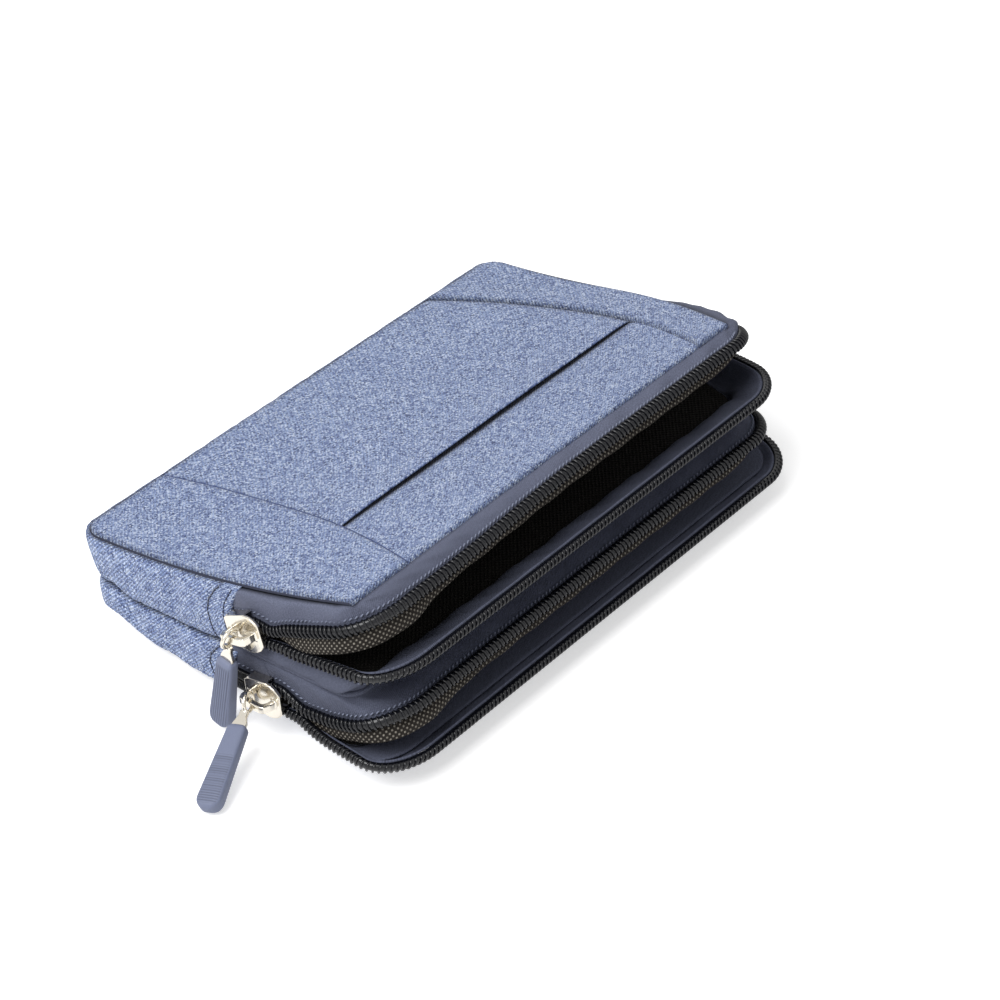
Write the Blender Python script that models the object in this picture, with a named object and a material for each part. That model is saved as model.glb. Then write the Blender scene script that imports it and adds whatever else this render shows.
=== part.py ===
"""A two-compartment phone belt pouch in woven fabric, lying on its back with both zips open.

Frame: X runs along the pouch, from the end with the zip sliders (-X) to the far end.
-Y is the mouth side, +Y the closed long edge, +Z up. The origin is on the outer face of
the back, between the two webbing belt loops that the pouch rests on.

Three walls fan out from the closed edge: back, divider and front cover. Fabric gussets
join them round the closed side, and zip tapes carry on round the mouth side.
Each zip lip is a tape from the rim of a wall out to a coil, which a slider draws together.
"""

import math

import bmesh
import bpy
from mathutils import Matrix, Vector

MM = 0.001

# Fits between touching pieces
GAP = 0.3 * MM

# Cloth, foam and webbing
CLOTH = 0.9 * MM
BASE_CLOTH = 1.0 * MM
LINING = 0.6 * MM
FRONT_FOAM = 1.6 * MM
BACK_FOAM = 1.2 * MM
WALL_CLOTH = 1.0 * MM
FOAM_MARGIN = 2.8 * MM

# Front cover
HALF_LENGTH = 80 * MM
FRONT_CLOSED_Y = 46 * MM
FRONT_MOUTH_Y = -44 * MM
FRONT_LOW_Z = 19.9 * MM
FRONT_RISE = 12.6 * MM
FRONT_CURL = 12.3 * MM
FRONT_CORNER = 7 * MM
FRONT_NEAR_INSET = 1.5 * MM
FRONT_FAR_INSET = 12 * MM
FRONT_FAR_TRIM = 1.5 * MM

# Divider between the compartments
DIVIDER = 2.2 * MM
DIVIDER_CLOSED_Y = 41 * MM
DIVIDER_MOUTH_Y = -46 * MM
DIVIDER_LOW_Z = 7.7 * MM
DIVIDER_RISE = 10.2 * MM
DIVIDER_CORNER = 6 * MM
DIVIDER_FAR_INSET = 9 * MM

# Back
BACK_CLOSED_Y = 40 * MM
BACK_MOUTH_Y = -47 * MM
BACK_CORNER = 6 * MM
BACK_FAR_INSET = 6 * MM

# The ends of the walls curve in from here to the mouth, where two walls have round corners
BEND_Y = 6 * MM
MOUTH_CORNER = 5 * MM

# Panels laid on the front cover: the card slot, and curved seams measured in from the ends
SLOT_Y = -15 * MM
NEAR_SEAM_IN = 33.5 * MM
NEAR_SEAM_Y = 6 * MM
NEAR_SEAM_SWING = 10 * MM
FAR_SEAM_IN = 14.9 * MM
FAR_SEAM_Y = -1 * MM
FAR_SEAM_SWING = 12.5 * MM
SEAM_REACH = 46 * MM
SLOT_LIFT = 0.5 * MM
SLOT_LIFT_REACH = 16 * MM

# Zip tapes and coils
TAPE = 0.7 * MM
TAPE_EDGE_IN = 0.4 * MM
TAPE_START_Y = -6 * MM
COIL_WIDTH = 2.9 * MM
COIL_NECK_WIDTH = 2.2 * MM
COIL_DEPTH = 1.9 * MM
COIL_NECK_DEPTH = 1.3 * MM
COIL_PITCH = 2.6 * MM
COIL_START = 0.5 * MM
PIPING_RADIUS = 0.8 * MM

# Where each lip's coil seam runs: height at the slider, rise per length towards the mouth,
# how far the mouth run stands out, and how the corner is rounded
LIP_LINE_Y = -13 * MM
FRONT_UPPER_Z = 24.9 * MM
FRONT_UPPER_SLOPE_SHARE = 0.50
FRONT_UPPER_Y = -49.2 * MM
FRONT_LOWER_Z = 19.2 * MM
FRONT_LOWER_SLOPE_SHARE = 0.225
FRONT_LOWER_Y = -55.9 * MM
REAR_UPPER_Z = 6.1 * MM
REAR_UPPER_SLOPE_SHARE = 0.18
REAR_UPPER_Y = -55.7 * MM
REAR_LOWER_Z = 2.8 * MM
REAR_LOWER_SLOPE_SHARE = 0.0
REAR_LOWER_Y = -58.8 * MM
REAR_LOWER_SPREAD = 1.5 * MM
LIP_CORNER_X = 14 * MM
LIP_CORNER_Y = 9 * MM
RIM_CORNER = 4 * MM
LIP_BLEND = 8 * MM

# Zip sliders
SLIDER_LENGTH = 11.5 * MM
SLIDER_PLATE = 1.0 * MM
SLIDER_WALL = 0.7 * MM
FLANGE_WALL = 0.63 * MM
FLANGE_END = 1.15 * MM
SLIDER_LOWER_TRIM = 1.2 * MM
SLIDER_SPREAD = 1.7 * MM
CHAIN_HALF = 1.6 * MM
FRONT_SLIDER_Y = -14.8 * MM
FRONT_SLIDER_Z = 22.6 * MM
FRONT_SLIDER_TILT = math.radians(18)
REAR_SLIDER_Y = -20 * MM
REAR_SLIDER_Z = 5.2 * MM
REAR_SLIDER_TILT = math.radians(5)
CROWN_REAR = -4.7 * MM
CROWN_FRONT = 4.1 * MM
CROWN_LEG = 1.2 * MM
BAR_WIDTH = 2.0 * MM
BAR_DEPTH = 1.5 * MM
EYE_PLACE = -1.7 * MM

# Slider plates: places along them, and how they narrow at the rear and at the rounded nose
PLATE_PLACE_SHARES = (0.0, 0.06, 0.2, 0.4, 0.6, 0.74, 0.86, 0.95, 1.0)
PLATE_REAR_SHARE = 0.2
PLATE_REAR_DROP_SHARE = 0.35
PLATE_NOSE_SHARE = 0.4
PLATE_NOSE_DROP_SHARE = 0.72
WEDGE_START = 1.4 * MM

# The crown's outline: legs in from its rear or front end, and half depths up from the bar
CROWN_REAR_OUTER_SHARES = ((0.0, -1.0), (0.5, 0.7), (1.2, 1.0))
CROWN_REAR_INNER_SHARES = ((1.0, -1.4), (1.05, -1.1), (1.3, -1.0))
CROWN_FRONT_OUTER_SHARES = ((1.6, 1.0), (0.4, 0.3), (0.0, -2.0))
CROWN_FRONT_INNER_SHARES = ((1.9, -1.0), (1.4, -1.3), (1.0, -2.6))
CROWN_FOOT_OUTER_SHARE = -0.33
CROWN_FOOT_INNER_SHARE = 0.8

# Pulls: a cast eye and shank, with a moulded grip round the shank
EYE_RADIUS = 2.3 * MM
EYE_WIRE = 0.55 * MM
SHANK_ROOT_WIDTH = 2.2 * MM
SHANK_WIDTH = 3.8 * MM
SHANK_THICKNESS = 1.1 * MM
SHANK_NECK = 1.65 * MM
SHANK_SHOULDER = 1.1 * MM
SHANK_END = 12.5 * MM
GRIP_START = 7.0 * MM
GRIP_END = 27.3 * MM
GRIP_TOP_WIDTH = 5.0 * MM
GRIP_WIDTH = 6.6 * MM
GRIP_TOP_THICKNESS = 3.2 * MM
GRIP_THICKNESS = 4.2 * MM
GRIP_BEVEL = 1.0 * MM
GRIP_RIB = 0.3 * MM
GRIP_RIBS = 8
GRIP_BEVEL_LIMIT_SHARE = 0.6
GRIP_RIB_LIMIT_SHARE = 0.15
GRIP_PLACE_SHARES = (0.0, 0.03, 0.25, 0.5, 0.75, 0.86, 0.93, 0.975, 1.0)
GRIP_WIDEN_SHARE = 0.75
GRIP_TOP_SHARE = 0.88
GRIP_ROUND_START_SHARE = 0.82
GRIP_ROUND_REACH_SHARE = 0.185
GRIP_END_THICKNESS_SHARE = 0.55
FRONT_PULL_DIRECTION = (-0.03, 0.12, -0.99)
REAR_PULL_DIRECTION = (-0.875, -0.365, -0.318)

# End tabs over the ends of the zips, behind the front slider
TAB_CLEARANCE = 0.7 * MM
TAB_BACK_Y = -1.2 * MM
TAB_INSET = 1.2 * MM

# Belt loops, sewn down in two shallow channels across the back
LOOP_X = 38 * MM
LOOP_WIDTH = 25 * MM
LOOP_WEBBING = 1.4 * MM
LOOP_CENTRE_Y = 2 * MM
LOOP_FLAT = 42 * MM
LOOP_SLOPE = 6 * MM
LOOP_PAD = 8 * MM
LOOP_HEIGHT = 6.5 * MM
CHANNEL_DEPTH = 0.3 * MM
CHANNEL_MARGIN = 2 * MM

# How finely curves are cut
STRAIGHT_ROWS = 9
RUN_ROWS = 5
CORNER_ROWS = 5
MOUTH_ROWS = 10
TAB_ROWS = 3
GUSSET_RAMP_ROWS = 3
SLIDER_ROWS = 6
EYE_SEGMENTS = 20
WIRE_SEGMENTS = 8

# Finishes: colour, roughness and metallic value
WOVEN_CLOTH = ((0.13, 0.20, 0.40), 0.9, 0.0)
TAPE_CLOTH = ((0.040, 0.052, 0.088), 0.85, 0.0)
NYLON = ((0.010, 0.011, 0.018), 0.4, 0.0)
LINING_CLOTH = ((0.03, 0.03, 0.035), 0.9, 0.0)
FOAM = ((0.35, 0.35, 0.36), 0.95, 0.0)
CAST_METAL = ((0.78, 0.76, 0.72), 0.25, 1.0)
MOULDED_GRIP = ((0.11, 0.13, 0.23), 0.7, 0.0)
LOOP_CLOTH = ((0.03, 0.035, 0.06), 0.85, 0.0)


def clear_scene():
    for item in list(bpy.data.objects):
        bpy.data.objects.remove(item, do_unlink=True)


def collection(name):
    group = bpy.data.collections.new(name)
    bpy.context.scene.collection.children.link(group)
    return group


def give_finish(item, finish):
    """Gives an object its own material."""
    colour, roughness, metallic = finish
    made = bpy.data.materials.new(item.name)
    made.use_nodes = True
    shader = made.node_tree.nodes["Principled BSDF"]
    shader.inputs["Base Color"].default_value = (*colour, 1.0)
    shader.inputs["Roughness"].default_value = roughness
    shader.inputs["Metallic"].default_value = metallic
    item.data.materials.append(made)


def smooth_step(value):
    value = min(max(value, 0.0), 1.0)
    return value * value * (3.0 - 2.0 * value)


def mix(first, second, share):
    return first * (1.0 - share) + second * share


def spread(first, last, count):
    """Evenly spaced values from first to last, both included."""
    return [mix(first, last, step / (count - 1)) for step in range(count)]


class Outline:
    """A wall's outline from above: straight ends that curve in towards the mouth."""

    def __init__(self, near, far, closed, mouth, radius, mouth_radius, near_inset, far_inset):
        self.near = near
        self.far = far
        self.closed = closed
        self.mouth = mouth
        self.radius = radius
        self.mouth_radius = mouth_radius
        self.near_inset = near_inset
        self.far_inset = far_inset

    def grown(self, margin):
        """The same outline moved inwards by a margin, all round."""
        return Outline(self.near + margin, self.far - margin, self.closed - margin,
                       self.mouth + margin, self.radius - margin,
                       max(self.mouth_radius - margin, 0.0), self.near_inset, self.far_inset)

    def bend(self, y):
        share = (BEND_Y - y) / (BEND_Y - self.mouth)
        return max(share, 0.0) ** 2

    def rounding(self, y):
        """How far a rounded corner draws the end in at this y."""
        radius = self.radius
        reach = y - (self.closed - radius)
        if y < 0.0:
            radius = self.mouth_radius
            reach = self.mouth + radius - y
        if reach <= 0.0:
            return 0.0
        return radius - math.sqrt(max(radius ** 2 - reach ** 2, 0.0))

    def left(self, y):
        return self.near + self.near_inset * self.bend(y) + self.rounding(y)

    def right(self, y):
        return self.far - self.far_inset * self.bend(y) - self.rounding(y)

    def rows(self, low, high):
        """The y of each row of a slab, closer together in the rounded corners."""
        straight_start = self.mouth + self.mouth_radius
        straight_end = self.closed - self.radius
        turns = [math.pi / 2 * step / CORNER_ROWS for step in range(1, CORNER_ROWS + 1)]
        rows = []
        if self.mouth_radius > 0.0:
            rows = [straight_start - self.mouth_radius * math.sin(turn) for turn in reversed(turns)]
        rows += spread(straight_start, straight_end, STRAIGHT_ROWS)
        rows += [straight_end + self.radius * math.sin(turn) for turn in turns]
        return [low] + [y for y in rows if low < y <= high]


FRONT = Outline(-HALF_LENGTH, HALF_LENGTH - FRONT_FAR_TRIM, FRONT_CLOSED_Y, FRONT_MOUTH_Y,
                FRONT_CORNER, 0.0, FRONT_NEAR_INSET, FRONT_FAR_INSET)
MIDDLE = Outline(-HALF_LENGTH, HALF_LENGTH - FRONT_FAR_TRIM, DIVIDER_CLOSED_Y,
                 DIVIDER_MOUTH_Y, DIVIDER_CORNER, MOUTH_CORNER, 0.0, DIVIDER_FAR_INSET)
BACK = Outline(-HALF_LENGTH, HALF_LENGTH - FRONT_FAR_TRIM, BACK_CLOSED_Y, BACK_MOUTH_Y,
               BACK_CORNER, MOUTH_CORNER, 0.0, BACK_FAR_INSET)


def front_top(y):
    """The front cover's outer face: it climbs from the closed edge and curls up at the mouth."""
    share = (FRONT_CLOSED_Y - y) / (FRONT_CLOSED_Y - FRONT_MOUTH_Y)
    return FRONT_LOW_Z + FRONT_RISE * share + FRONT_CURL * share * abs(share)


def front_rim(y):
    """Underside of the two cloth layers at the front cover's rim."""
    return front_top(y) - CLOTH - GAP - BASE_CLOTH


def divider_middle(y):
    share = (DIVIDER_CLOSED_Y - y) / (DIVIDER_CLOSED_Y - DIVIDER_MOUTH_Y)
    return DIVIDER_LOW_Z + DIVIDER_RISE * share


def divider_top(y):
    return divider_middle(y) + DIVIDER / 2


def divider_bottom(y):
    return divider_middle(y) - DIVIDER / 2


def back_top(y):
    return BASE_CLOTH


def loft(name, rings, finish):
    """A closed skin over a row of rings with the same number of points."""
    mesh = bpy.data.meshes.new(name)
    build = bmesh.new()
    rows = [[build.verts.new(point) for point in ring] for ring in rings]
    count = len(rings[0])
    for row, following in zip(rows, rows[1:]):
        for index in range(count):
            after = (index + 1) % count
            build.faces.new((row[index], row[after], following[after], following[index]))
    build.faces.new(rows[0])
    build.faces.new(rows[-1])
    bmesh.ops.recalc_face_normals(build, faces=build.faces)
    build.to_mesh(mesh)
    build.free()
    item = bpy.data.objects.new(name, mesh)
    give_finish(item, finish)
    PARTS.objects.link(item)
    return item


def slab(name, left, right, top, thickness, rows, finish):
    """A sheet between two end lines, following the height function top(y)."""
    rings = []
    for y in rows:
        high = top(y)
        low = high - thickness
        rings.append([Vector((left(y), y, high)), Vector((right(y), y, high)),
                      Vector((right(y), y, low)), Vector((left(y), y, low))])
    return loft(name, rings, finish)


def wall(name, outline, top, thickness, finish):
    """A sheet that fills a whole outline."""
    rows = outline.rows(outline.mouth, outline.closed)
    return slab(name, outline.left, outline.right, top, thickness, rows, finish)


def rounded_corner(start, corner, end, count):
    """Points of a quarter-ellipse-like corner, without its two ends."""
    weight = math.cos(math.pi / 4)
    points = []
    for step in range(1, count):
        share = step / count
        first = (1 - share) ** 2
        middle = 2 * share * (1 - share) * weight
        last = share ** 2
        total = first + middle + last
        points.append((start * first + corner * middle + end * last) / total)
    return points


def closed_line(outline, height, edge_in):
    """The rim of a wall round the closed side, from the near tab to the far tab."""
    inner = outline.grown(edge_in)
    ys = spread(TAPE_START_Y + GAP, inner.closed - inner.radius, STRAIGHT_ROWS)
    near = [Vector((inner.left(y), y, 0)) for y in ys]
    far = [Vector((inner.right(y), y, 0)) for y in ys]
    flat_near = Vector((inner.near + inner.radius, inner.closed, 0))
    flat_far = Vector((inner.far - inner.radius, inner.closed, 0))
    points = near
    points += rounded_corner(near[-1], Vector((inner.near, inner.closed, 0)), flat_near,
                             CORNER_ROWS)
    points += [flat_near, flat_far]
    points += rounded_corner(flat_far, Vector((inner.far, inner.closed, 0)), far[-1],
                             CORNER_ROWS)
    points += reversed(far)
    for point in points:
        point.z = height(point.y)
    return points


def round_mouth(near, near_corner, far_corner, far, turn):
    """A line along the near end, round the two corners of the mouth and back along the far end."""
    reach = Vector((turn, 0, 0))
    mouth_start = near_corner + reach
    mouth_end = far_corner - reach
    points = list(near)
    points += rounded_corner(near[-1], near_corner, mouth_start, CORNER_ROWS + 1)
    points += spread(mouth_start, mouth_end, MOUTH_ROWS)
    points += rounded_corner(mouth_end, far_corner, far[-1], CORNER_ROWS + 1)
    points += reversed(far)
    return points


def mouth_line(outline, height, shares):
    """The rim of a wall round the mouth side, with a station at each share of its end runs."""
    corner = max(outline.mouth_radius, RIM_CORNER)
    last = outline.mouth + corner
    ys = [mix(TAPE_START_Y, last, share) for share in shares]
    near = [Vector((outline.left(y), y, 0)) for y in ys]
    far = [Vector((outline.right(y), y, 0)) for y in ys]
    near_corner = Vector((outline.left(last), outline.mouth, 0))
    far_corner = Vector((outline.right(last), outline.mouth, 0))
    points = round_mouth(near, near_corner, far_corner, far, corner)
    for point in points:
        point.z = height(point.y)
    return points


class Slider:
    """Where a slider sits: its middle, its travel and width directions."""

    def __init__(self, y, z, tilt):
        self.seam_x = HALF_LENGTH - TAPE_EDGE_IN
        self.centre = Vector((-self.seam_x, y, z))
        self.travel = Vector((0, -math.cos(tilt), math.sin(tilt)))
        self.width = Vector((0, math.sin(tilt), math.cos(tilt)))
        self.out = Vector((-1, 0, 0))

    def place(self, along, across, side):
        """A point of a coil seam near the slider, or of its mirror image at the far end."""
        point = self.centre + self.travel * along + self.width * across
        return Vector((side * self.seam_x, point.y, point.z))

    def frame(self):
        turned = Matrix((self.travel, self.width, self.out)).transposed().to_4x4()
        return Matrix.Translation(self.centre) @ turned


def chain_half(along):
    """Half the distance between the two coil seams, at a place along the slider."""
    share = (along + SLIDER_LENGTH / 2) / SLIDER_LENGTH
    return CHAIN_HALF + SLIDER_SPREAD * smooth_step(share)


class Lip:
    """One lip of a zip: its rim on a wall, and the seam that carries its coil."""

    def __init__(self, slider, side, outline, rim_height, start_z, slope, mouth_y, spread_x=0.0):
        self.slider = slider
        self.side = side
        self.rim = outline.grown(TAPE_EDGE_IN)
        self.rim_height = rim_height
        self.start_z = start_z
        self.slope = slope
        self.mouth_y = mouth_y
        self.spread_x = spread_x
        self.far_inset = outline.far_inset
        self.near_inset = outline.near_inset
        self.trim = HALF_LENGTH - outline.far

    def seam_height(self, y):
        return self.start_z + self.slope * (LIP_LINE_Y - y)

    def seam_x(self, y, end):
        """Where the seam runs at the near end (end -1) or the far end (end +1)."""
        settled = self.slider.centre.y - SLIDER_LENGTH / 2
        out = self.spread_x * smooth_step((settled - y) / (2 * LIP_BLEND))
        share = max((settled - y) / (settled - self.mouth_y), 0.0) ** 2
        if end < 0:
            return -(self.slider.seam_x + out - self.near_inset * share)
        return self.slider.seam_x - self.trim + out - self.far_inset * share

    def seam_point(self, y, end):
        """A point of the seam: set by the slider near it, by the lip's own line beyond."""
        start_y = self.slider.centre.y + self.slider.width.y * self.side * CHAIN_HALF
        along = (start_y - y) / -self.slider.travel.y
        guided = self.slider.place(along, self.side * chain_half(along), end)
        free = Vector((self.seam_x(guided.y, end), guided.y, self.seam_height(guided.y)))
        if end > 0:
            guided.x -= self.trim
        share = smooth_step((along - SLIDER_LENGTH / 2) / LIP_BLEND)
        return mix(guided, free, share)

    def stations(self):
        """The y of each station of an end run, from the tab to the corner."""
        last = self.mouth_y + LIP_CORNER_Y
        near_slider = self.slider.centre.y - SLIDER_LENGTH / 2 - LIP_BLEND
        ys = spread(TAPE_START_Y, near_slider, STRAIGHT_ROWS)
        return ys + spread(near_slider, last, RUN_ROWS)[1:]

    def seam(self):
        """The seam from the near tab round the mouth to the far tab."""
        near = [self.seam_point(y, -1) for y in self.stations()]
        far = [self.seam_point(y, 1) for y in self.stations()]
        height = self.seam_height(self.mouth_y)
        near_corner = Vector((self.seam_x(self.mouth_y, -1), self.mouth_y, height))
        far_corner = Vector((self.seam_x(self.mouth_y, 1), self.mouth_y, height))
        return round_mouth(near, near_corner, far_corner, far, LIP_CORNER_X)

    def rim_line(self):
        """The rim on the wall, station for station with the seam."""
        ys = self.stations()
        shares = [(y - ys[0]) / (ys[-1] - ys[0]) for y in ys]
        return mouth_line(self.rim, self.rim_height, shares)

    def frames(self):
        """Rim, seam, direction across the tape and outward direction at each station."""
        seam = self.seam()
        rim = self.rim_line()
        frames = []
        for index, point in enumerate(seam):
            before = seam[max(index - 1, 0)]
            after = seam[min(index + 1, len(seam) - 1)]
            run = (after - before).normalized()
            across = (rim[index] - point).normalized()
            outward = run.cross(across).normalized() * self.side
            frames.append((rim[index], point, across, outward))
        return frames


FRONT_SLIDER = Slider(FRONT_SLIDER_Y, FRONT_SLIDER_Z, FRONT_SLIDER_TILT)
REAR_SLIDER = Slider(REAR_SLIDER_Y, REAR_SLIDER_Z, REAR_SLIDER_TILT)

LIPS = {
    "front_upper": Lip(FRONT_SLIDER, 1, FRONT, front_rim, FRONT_UPPER_Z,
                       FRONT_UPPER_SLOPE_SHARE, FRONT_UPPER_Y),
    "front_lower": Lip(FRONT_SLIDER, -1, MIDDLE, divider_top, FRONT_LOWER_Z,
                       FRONT_LOWER_SLOPE_SHARE, FRONT_LOWER_Y),
    "rear_upper": Lip(REAR_SLIDER, 1, MIDDLE, divider_bottom, REAR_UPPER_Z,
                      REAR_UPPER_SLOPE_SHARE, REAR_UPPER_Y),
    "rear_lower": Lip(REAR_SLIDER, -1, BACK, back_top, REAR_LOWER_Z,
                      REAR_LOWER_SLOPE_SHARE, REAR_LOWER_Y, REAR_LOWER_SPREAD),
}


def tape(name, lip):
    """A zip tape: a thin band from the wall's rim to the coil seam."""
    rings = []
    for rim, seam, across, outward in lip.frames():
        half = outward * (TAPE / 2)
        seat = rim - Vector((0, 0, lip.side * (GAP + abs(half.z))))
        rings.append([seat + half, seam + half, seam - half, seat - half])
    return loft(name, rings, TAPE_CLOTH)


def coil(name, lip):
    """A toothed strip on the outside of the tape's edge, one crest a pitch."""
    frames = lip.frames()
    lift = TAPE / 2 + GAP + COIL_DEPTH / 2
    middles = [seam + outward * lift for _, seam, _, outward in frames]
    lengths = [0.0]
    for before, after in zip(middles, middles[1:]):
        lengths.append(lengths[-1] + (after - before).length)
    first = coil_start(middles, lengths, lip.slider)
    steps = int(round((lengths[-1] - 2 * first) / (COIL_PITCH / 2)))
    steps -= steps % 2
    rings = []
    for step in range(steps + 1):
        reach = mix(first, lengths[-1] - first, step / steps)
        index = max(i for i, length in enumerate(lengths[:-1]) if length <= reach)
        share = (reach - lengths[index]) / (lengths[index + 1] - lengths[index])
        middle = mix(middles[index], middles[index + 1], share)
        across = mix(frames[index][2], frames[index + 1][2], share).normalized()
        outward = mix(frames[index][3], frames[index + 1][3], share).normalized()
        crest = step % 2 == 0
        wide = across * (COIL_WIDTH if crest else COIL_NECK_WIDTH) / 2
        deep = outward * (COIL_DEPTH if crest else COIL_NECK_DEPTH) / 2
        rings.append([middle + wide + deep, middle - wide + deep,
                      middle - wide - deep, middle + wide - deep])
    return loft(name, rings, NYLON)


def coil_start(middles, lengths, slider):
    """How far along the seam the coil starts: just inside the rear of the slider."""
    start = slider.centre + slider.travel * (COIL_START - SLIDER_LENGTH / 2)
    index = max(i for i, point in enumerate(middles[:len(middles) // 2]) if point.y >= start.y)
    share = (middles[index].y - start.y) / (middles[index].y - middles[index + 1].y)
    return mix(lengths[index], lengths[index + 1], share)


def gusset(name, upper, upper_height, lower, lower_height, bulge):
    """The fabric wall between two rims round the closed side, bulging a little."""
    edge_in = WALL_CLOTH / 2
    tops = closed_line(upper, upper_height, edge_in)
    lows = closed_line(lower, lower_height, edge_in)
    rings = []
    for index, (high, low) in enumerate(zip(tops, lows)):
        before = tops[max(index - 1, 0)]
        after = tops[min(index + 1, len(tops) - 1)]
        run = (after - before).normalized()
        across = (high - low).normalized()
        outward = across.cross(run).normalized()
        half = outward * (WALL_CLOTH / 2)
        lift = Vector((0, 0, GAP + abs(half.z)))
        clear_of_tab = min(index, len(tops) - 1 - index) - 1
        swell = bulge * smooth_step(clear_of_tab / GUSSET_RAMP_ROWS)
        middle = (high + low) / 2 + outward * swell
        rings.append([high - lift + half, middle + half, low + lift + half,
                      low + lift - half, middle - half, high - lift - half])
    return loft(name, rings, WOVEN_CLOTH)


def end_tab(name, outline, top_height, low_height, end):
    """A cloth tab over the end of a zip, against the end wall."""
    inner = outline.near - GAP if end < 0 else outline.far + GAP
    outer = inner + end * CLOTH
    slider_rear = FRONT_SLIDER.centre.y - FRONT_SLIDER.travel.y * SLIDER_LENGTH / 2
    rings = []
    for y in spread(slider_rear + TAB_CLEARANCE, TAB_BACK_Y, TAB_ROWS):
        high = top_height(y) - TAB_INSET
        low = low_height(y) + TAB_INSET
        rings.append([Vector((outer, y, high)), Vector((inner, y, high)),
                      Vector((inner, y, low)), Vector((outer, y, low))])
    return loft(name, rings, WOVEN_CLOTH)


def near_seam(y):
    """The near curved seam on the front cover."""
    reach = (NEAR_SEAM_Y - y) / SEAM_REACH
    return FRONT.near + NEAR_SEAM_IN - NEAR_SEAM_SWING * max(reach, 0.0) ** 2


def far_seam(y):
    """The far curved seam, bowed towards the far end."""
    reach = (FAR_SEAM_Y - y) / SEAM_REACH
    return FRONT.far - FAR_SEAM_IN - FAR_SEAM_SWING * reach ** 2


def front_cover():
    """The front cover: base cloth, laid-on panels, card pocket, foam and lining."""
    def base(y):
        return front_top(y) - CLOTH - GAP

    def pocket(y):
        open_share = 1.0 - (y - SLOT_Y) / SLOT_LIFT_REACH
        return front_top(y) + SLOT_LIFT * smooth_step(open_share)

    wall("front_panel", FRONT, base, BASE_CLOTH, WOVEN_CLOTH)
    rows = FRONT.rows(FRONT_MOUTH_Y, FRONT_CLOSED_Y)
    slab("near_overlay", FRONT.left, near_seam, front_top, CLOTH, rows, WOVEN_CLOTH)
    slab("far_overlay", far_seam, FRONT.right, front_top, CLOTH, rows, WOVEN_CLOTH)
    slab("card_pocket_panel", lambda y: near_seam(y) + GAP, lambda y: far_seam(y) - GAP,
         pocket, CLOTH, FRONT.rows(SLOT_Y, FRONT_CLOSED_Y), WOVEN_CLOTH)
    inner = FRONT.grown(FOAM_MARGIN)
    wall("front_padding", inner, lambda y: front_rim(y) - GAP, FRONT_FOAM, FOAM)
    wall("front_lining", inner, lambda y: front_rim(y) - 2 * GAP - FRONT_FOAM, LINING,
         LINING_CLOTH)


def back_wall():
    """The back: outer cloth with the channels for the belt loops, foam and lining."""
    panel = wall("back_panel", BACK, back_top, BASE_CLOTH, WOVEN_CLOTH)
    half_slope = LOOP_FLAT / 2 + LOOP_SLOPE
    for end in (-1, 1):
        inside = LOOP_CENTRE_Y + end * (half_slope - CHANNEL_MARGIN)
        outside = LOOP_CENTRE_Y + end * (half_slope + LOOP_PAD + GAP)
        rings = []
        for x in (BACK.near - BASE_CLOTH, BACK.far + BASE_CLOTH):
            rings.append([Vector((x, inside, -BASE_CLOTH)), Vector((x, outside, -BASE_CLOTH)),
                          Vector((x, outside, CHANNEL_DEPTH)), Vector((x, inside, CHANNEL_DEPTH))])
        boolean(panel, operand("back_channel_" + str(end + 1), rings), "DIFFERENCE")
    inner = BACK.grown(FOAM_MARGIN)
    foam_top = BASE_CLOTH + GAP + BACK_FOAM
    wall("back_padding", inner, lambda y: foam_top, BACK_FOAM, FOAM)
    wall("rear_lining", inner, lambda y: foam_top + GAP + LINING, LINING, LINING_CLOTH)


def divider_piping():
    """A thin cord sewn round the divider's rim on the mouth side."""
    outside = MIDDLE.grown(-PIPING_RADIUS - GAP)
    curve = bpy.data.curves.new("divider_piping", "CURVE")
    curve.dimensions = "3D"
    curve.bevel_depth = PIPING_RADIUS
    curve.bevel_resolution = 1
    curve.use_fill_caps = True
    points = mouth_line(outside, divider_middle, spread(0.0, 1.0, STRAIGHT_ROWS))
    line = curve.splines.new("POLY")
    line.points.add(len(points) - 1)
    for knot, point in zip(line.points, points):
        knot.co = (*point, 1.0)
    item = bpy.data.objects.new("divider_piping", curve)
    give_finish(item, TAPE_CLOTH)
    PARTS.objects.link(item)


def operand(name, rings):
    """A helper solid that a Boolean joins or cuts with."""
    item = loft(name, rings, CAST_METAL)
    PARTS.objects.unlink(item)
    CUTTERS.objects.link(item)
    item.hide_render = True
    item.display_type = "WIRE"
    return item


def boolean(item, other, operation):
    other.parent = item
    step = item.modifiers.new(other.name, "BOOLEAN")
    step.object = other
    step.operation = operation
    step.solver = "EXACT"


def box_ring(along, half_width, low, high):
    return [Vector((along, -half_width, low)), Vector((along, half_width, low)),
            Vector((along, half_width, high)), Vector((along, -half_width, high))]


def channel_half(along):
    """Half the width of the channel that the two coils run in."""
    return chain_half(along) + COIL_WIDTH / 2 + GAP


def plate_rings(low, high, trim):
    """A slider plate: narrow at the rear, full over the channel, rounded off in front."""
    rings = []
    for share in PLATE_PLACE_SHARES:
        along = mix(-SLIDER_LENGTH / 2, SLIDER_LENGTH / 2, share)
        full = channel_half(min(along, FLANGE_END)) + SLIDER_WALL
        rear_share = max(1 - share / PLATE_REAR_SHARE, 0.0)
        nose_share = max(1 - (1 - share) / PLATE_NOSE_SHARE, 0.0)
        rear_round = math.sqrt(1 - PLATE_REAR_DROP_SHARE * rear_share ** 2)
        nose_round = math.sqrt(1 - PLATE_NOSE_DROP_SHARE * nose_share ** 2)
        rings.append(box_ring(along, (full - trim) * rear_round * nose_round, low, high))
    return rings


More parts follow.
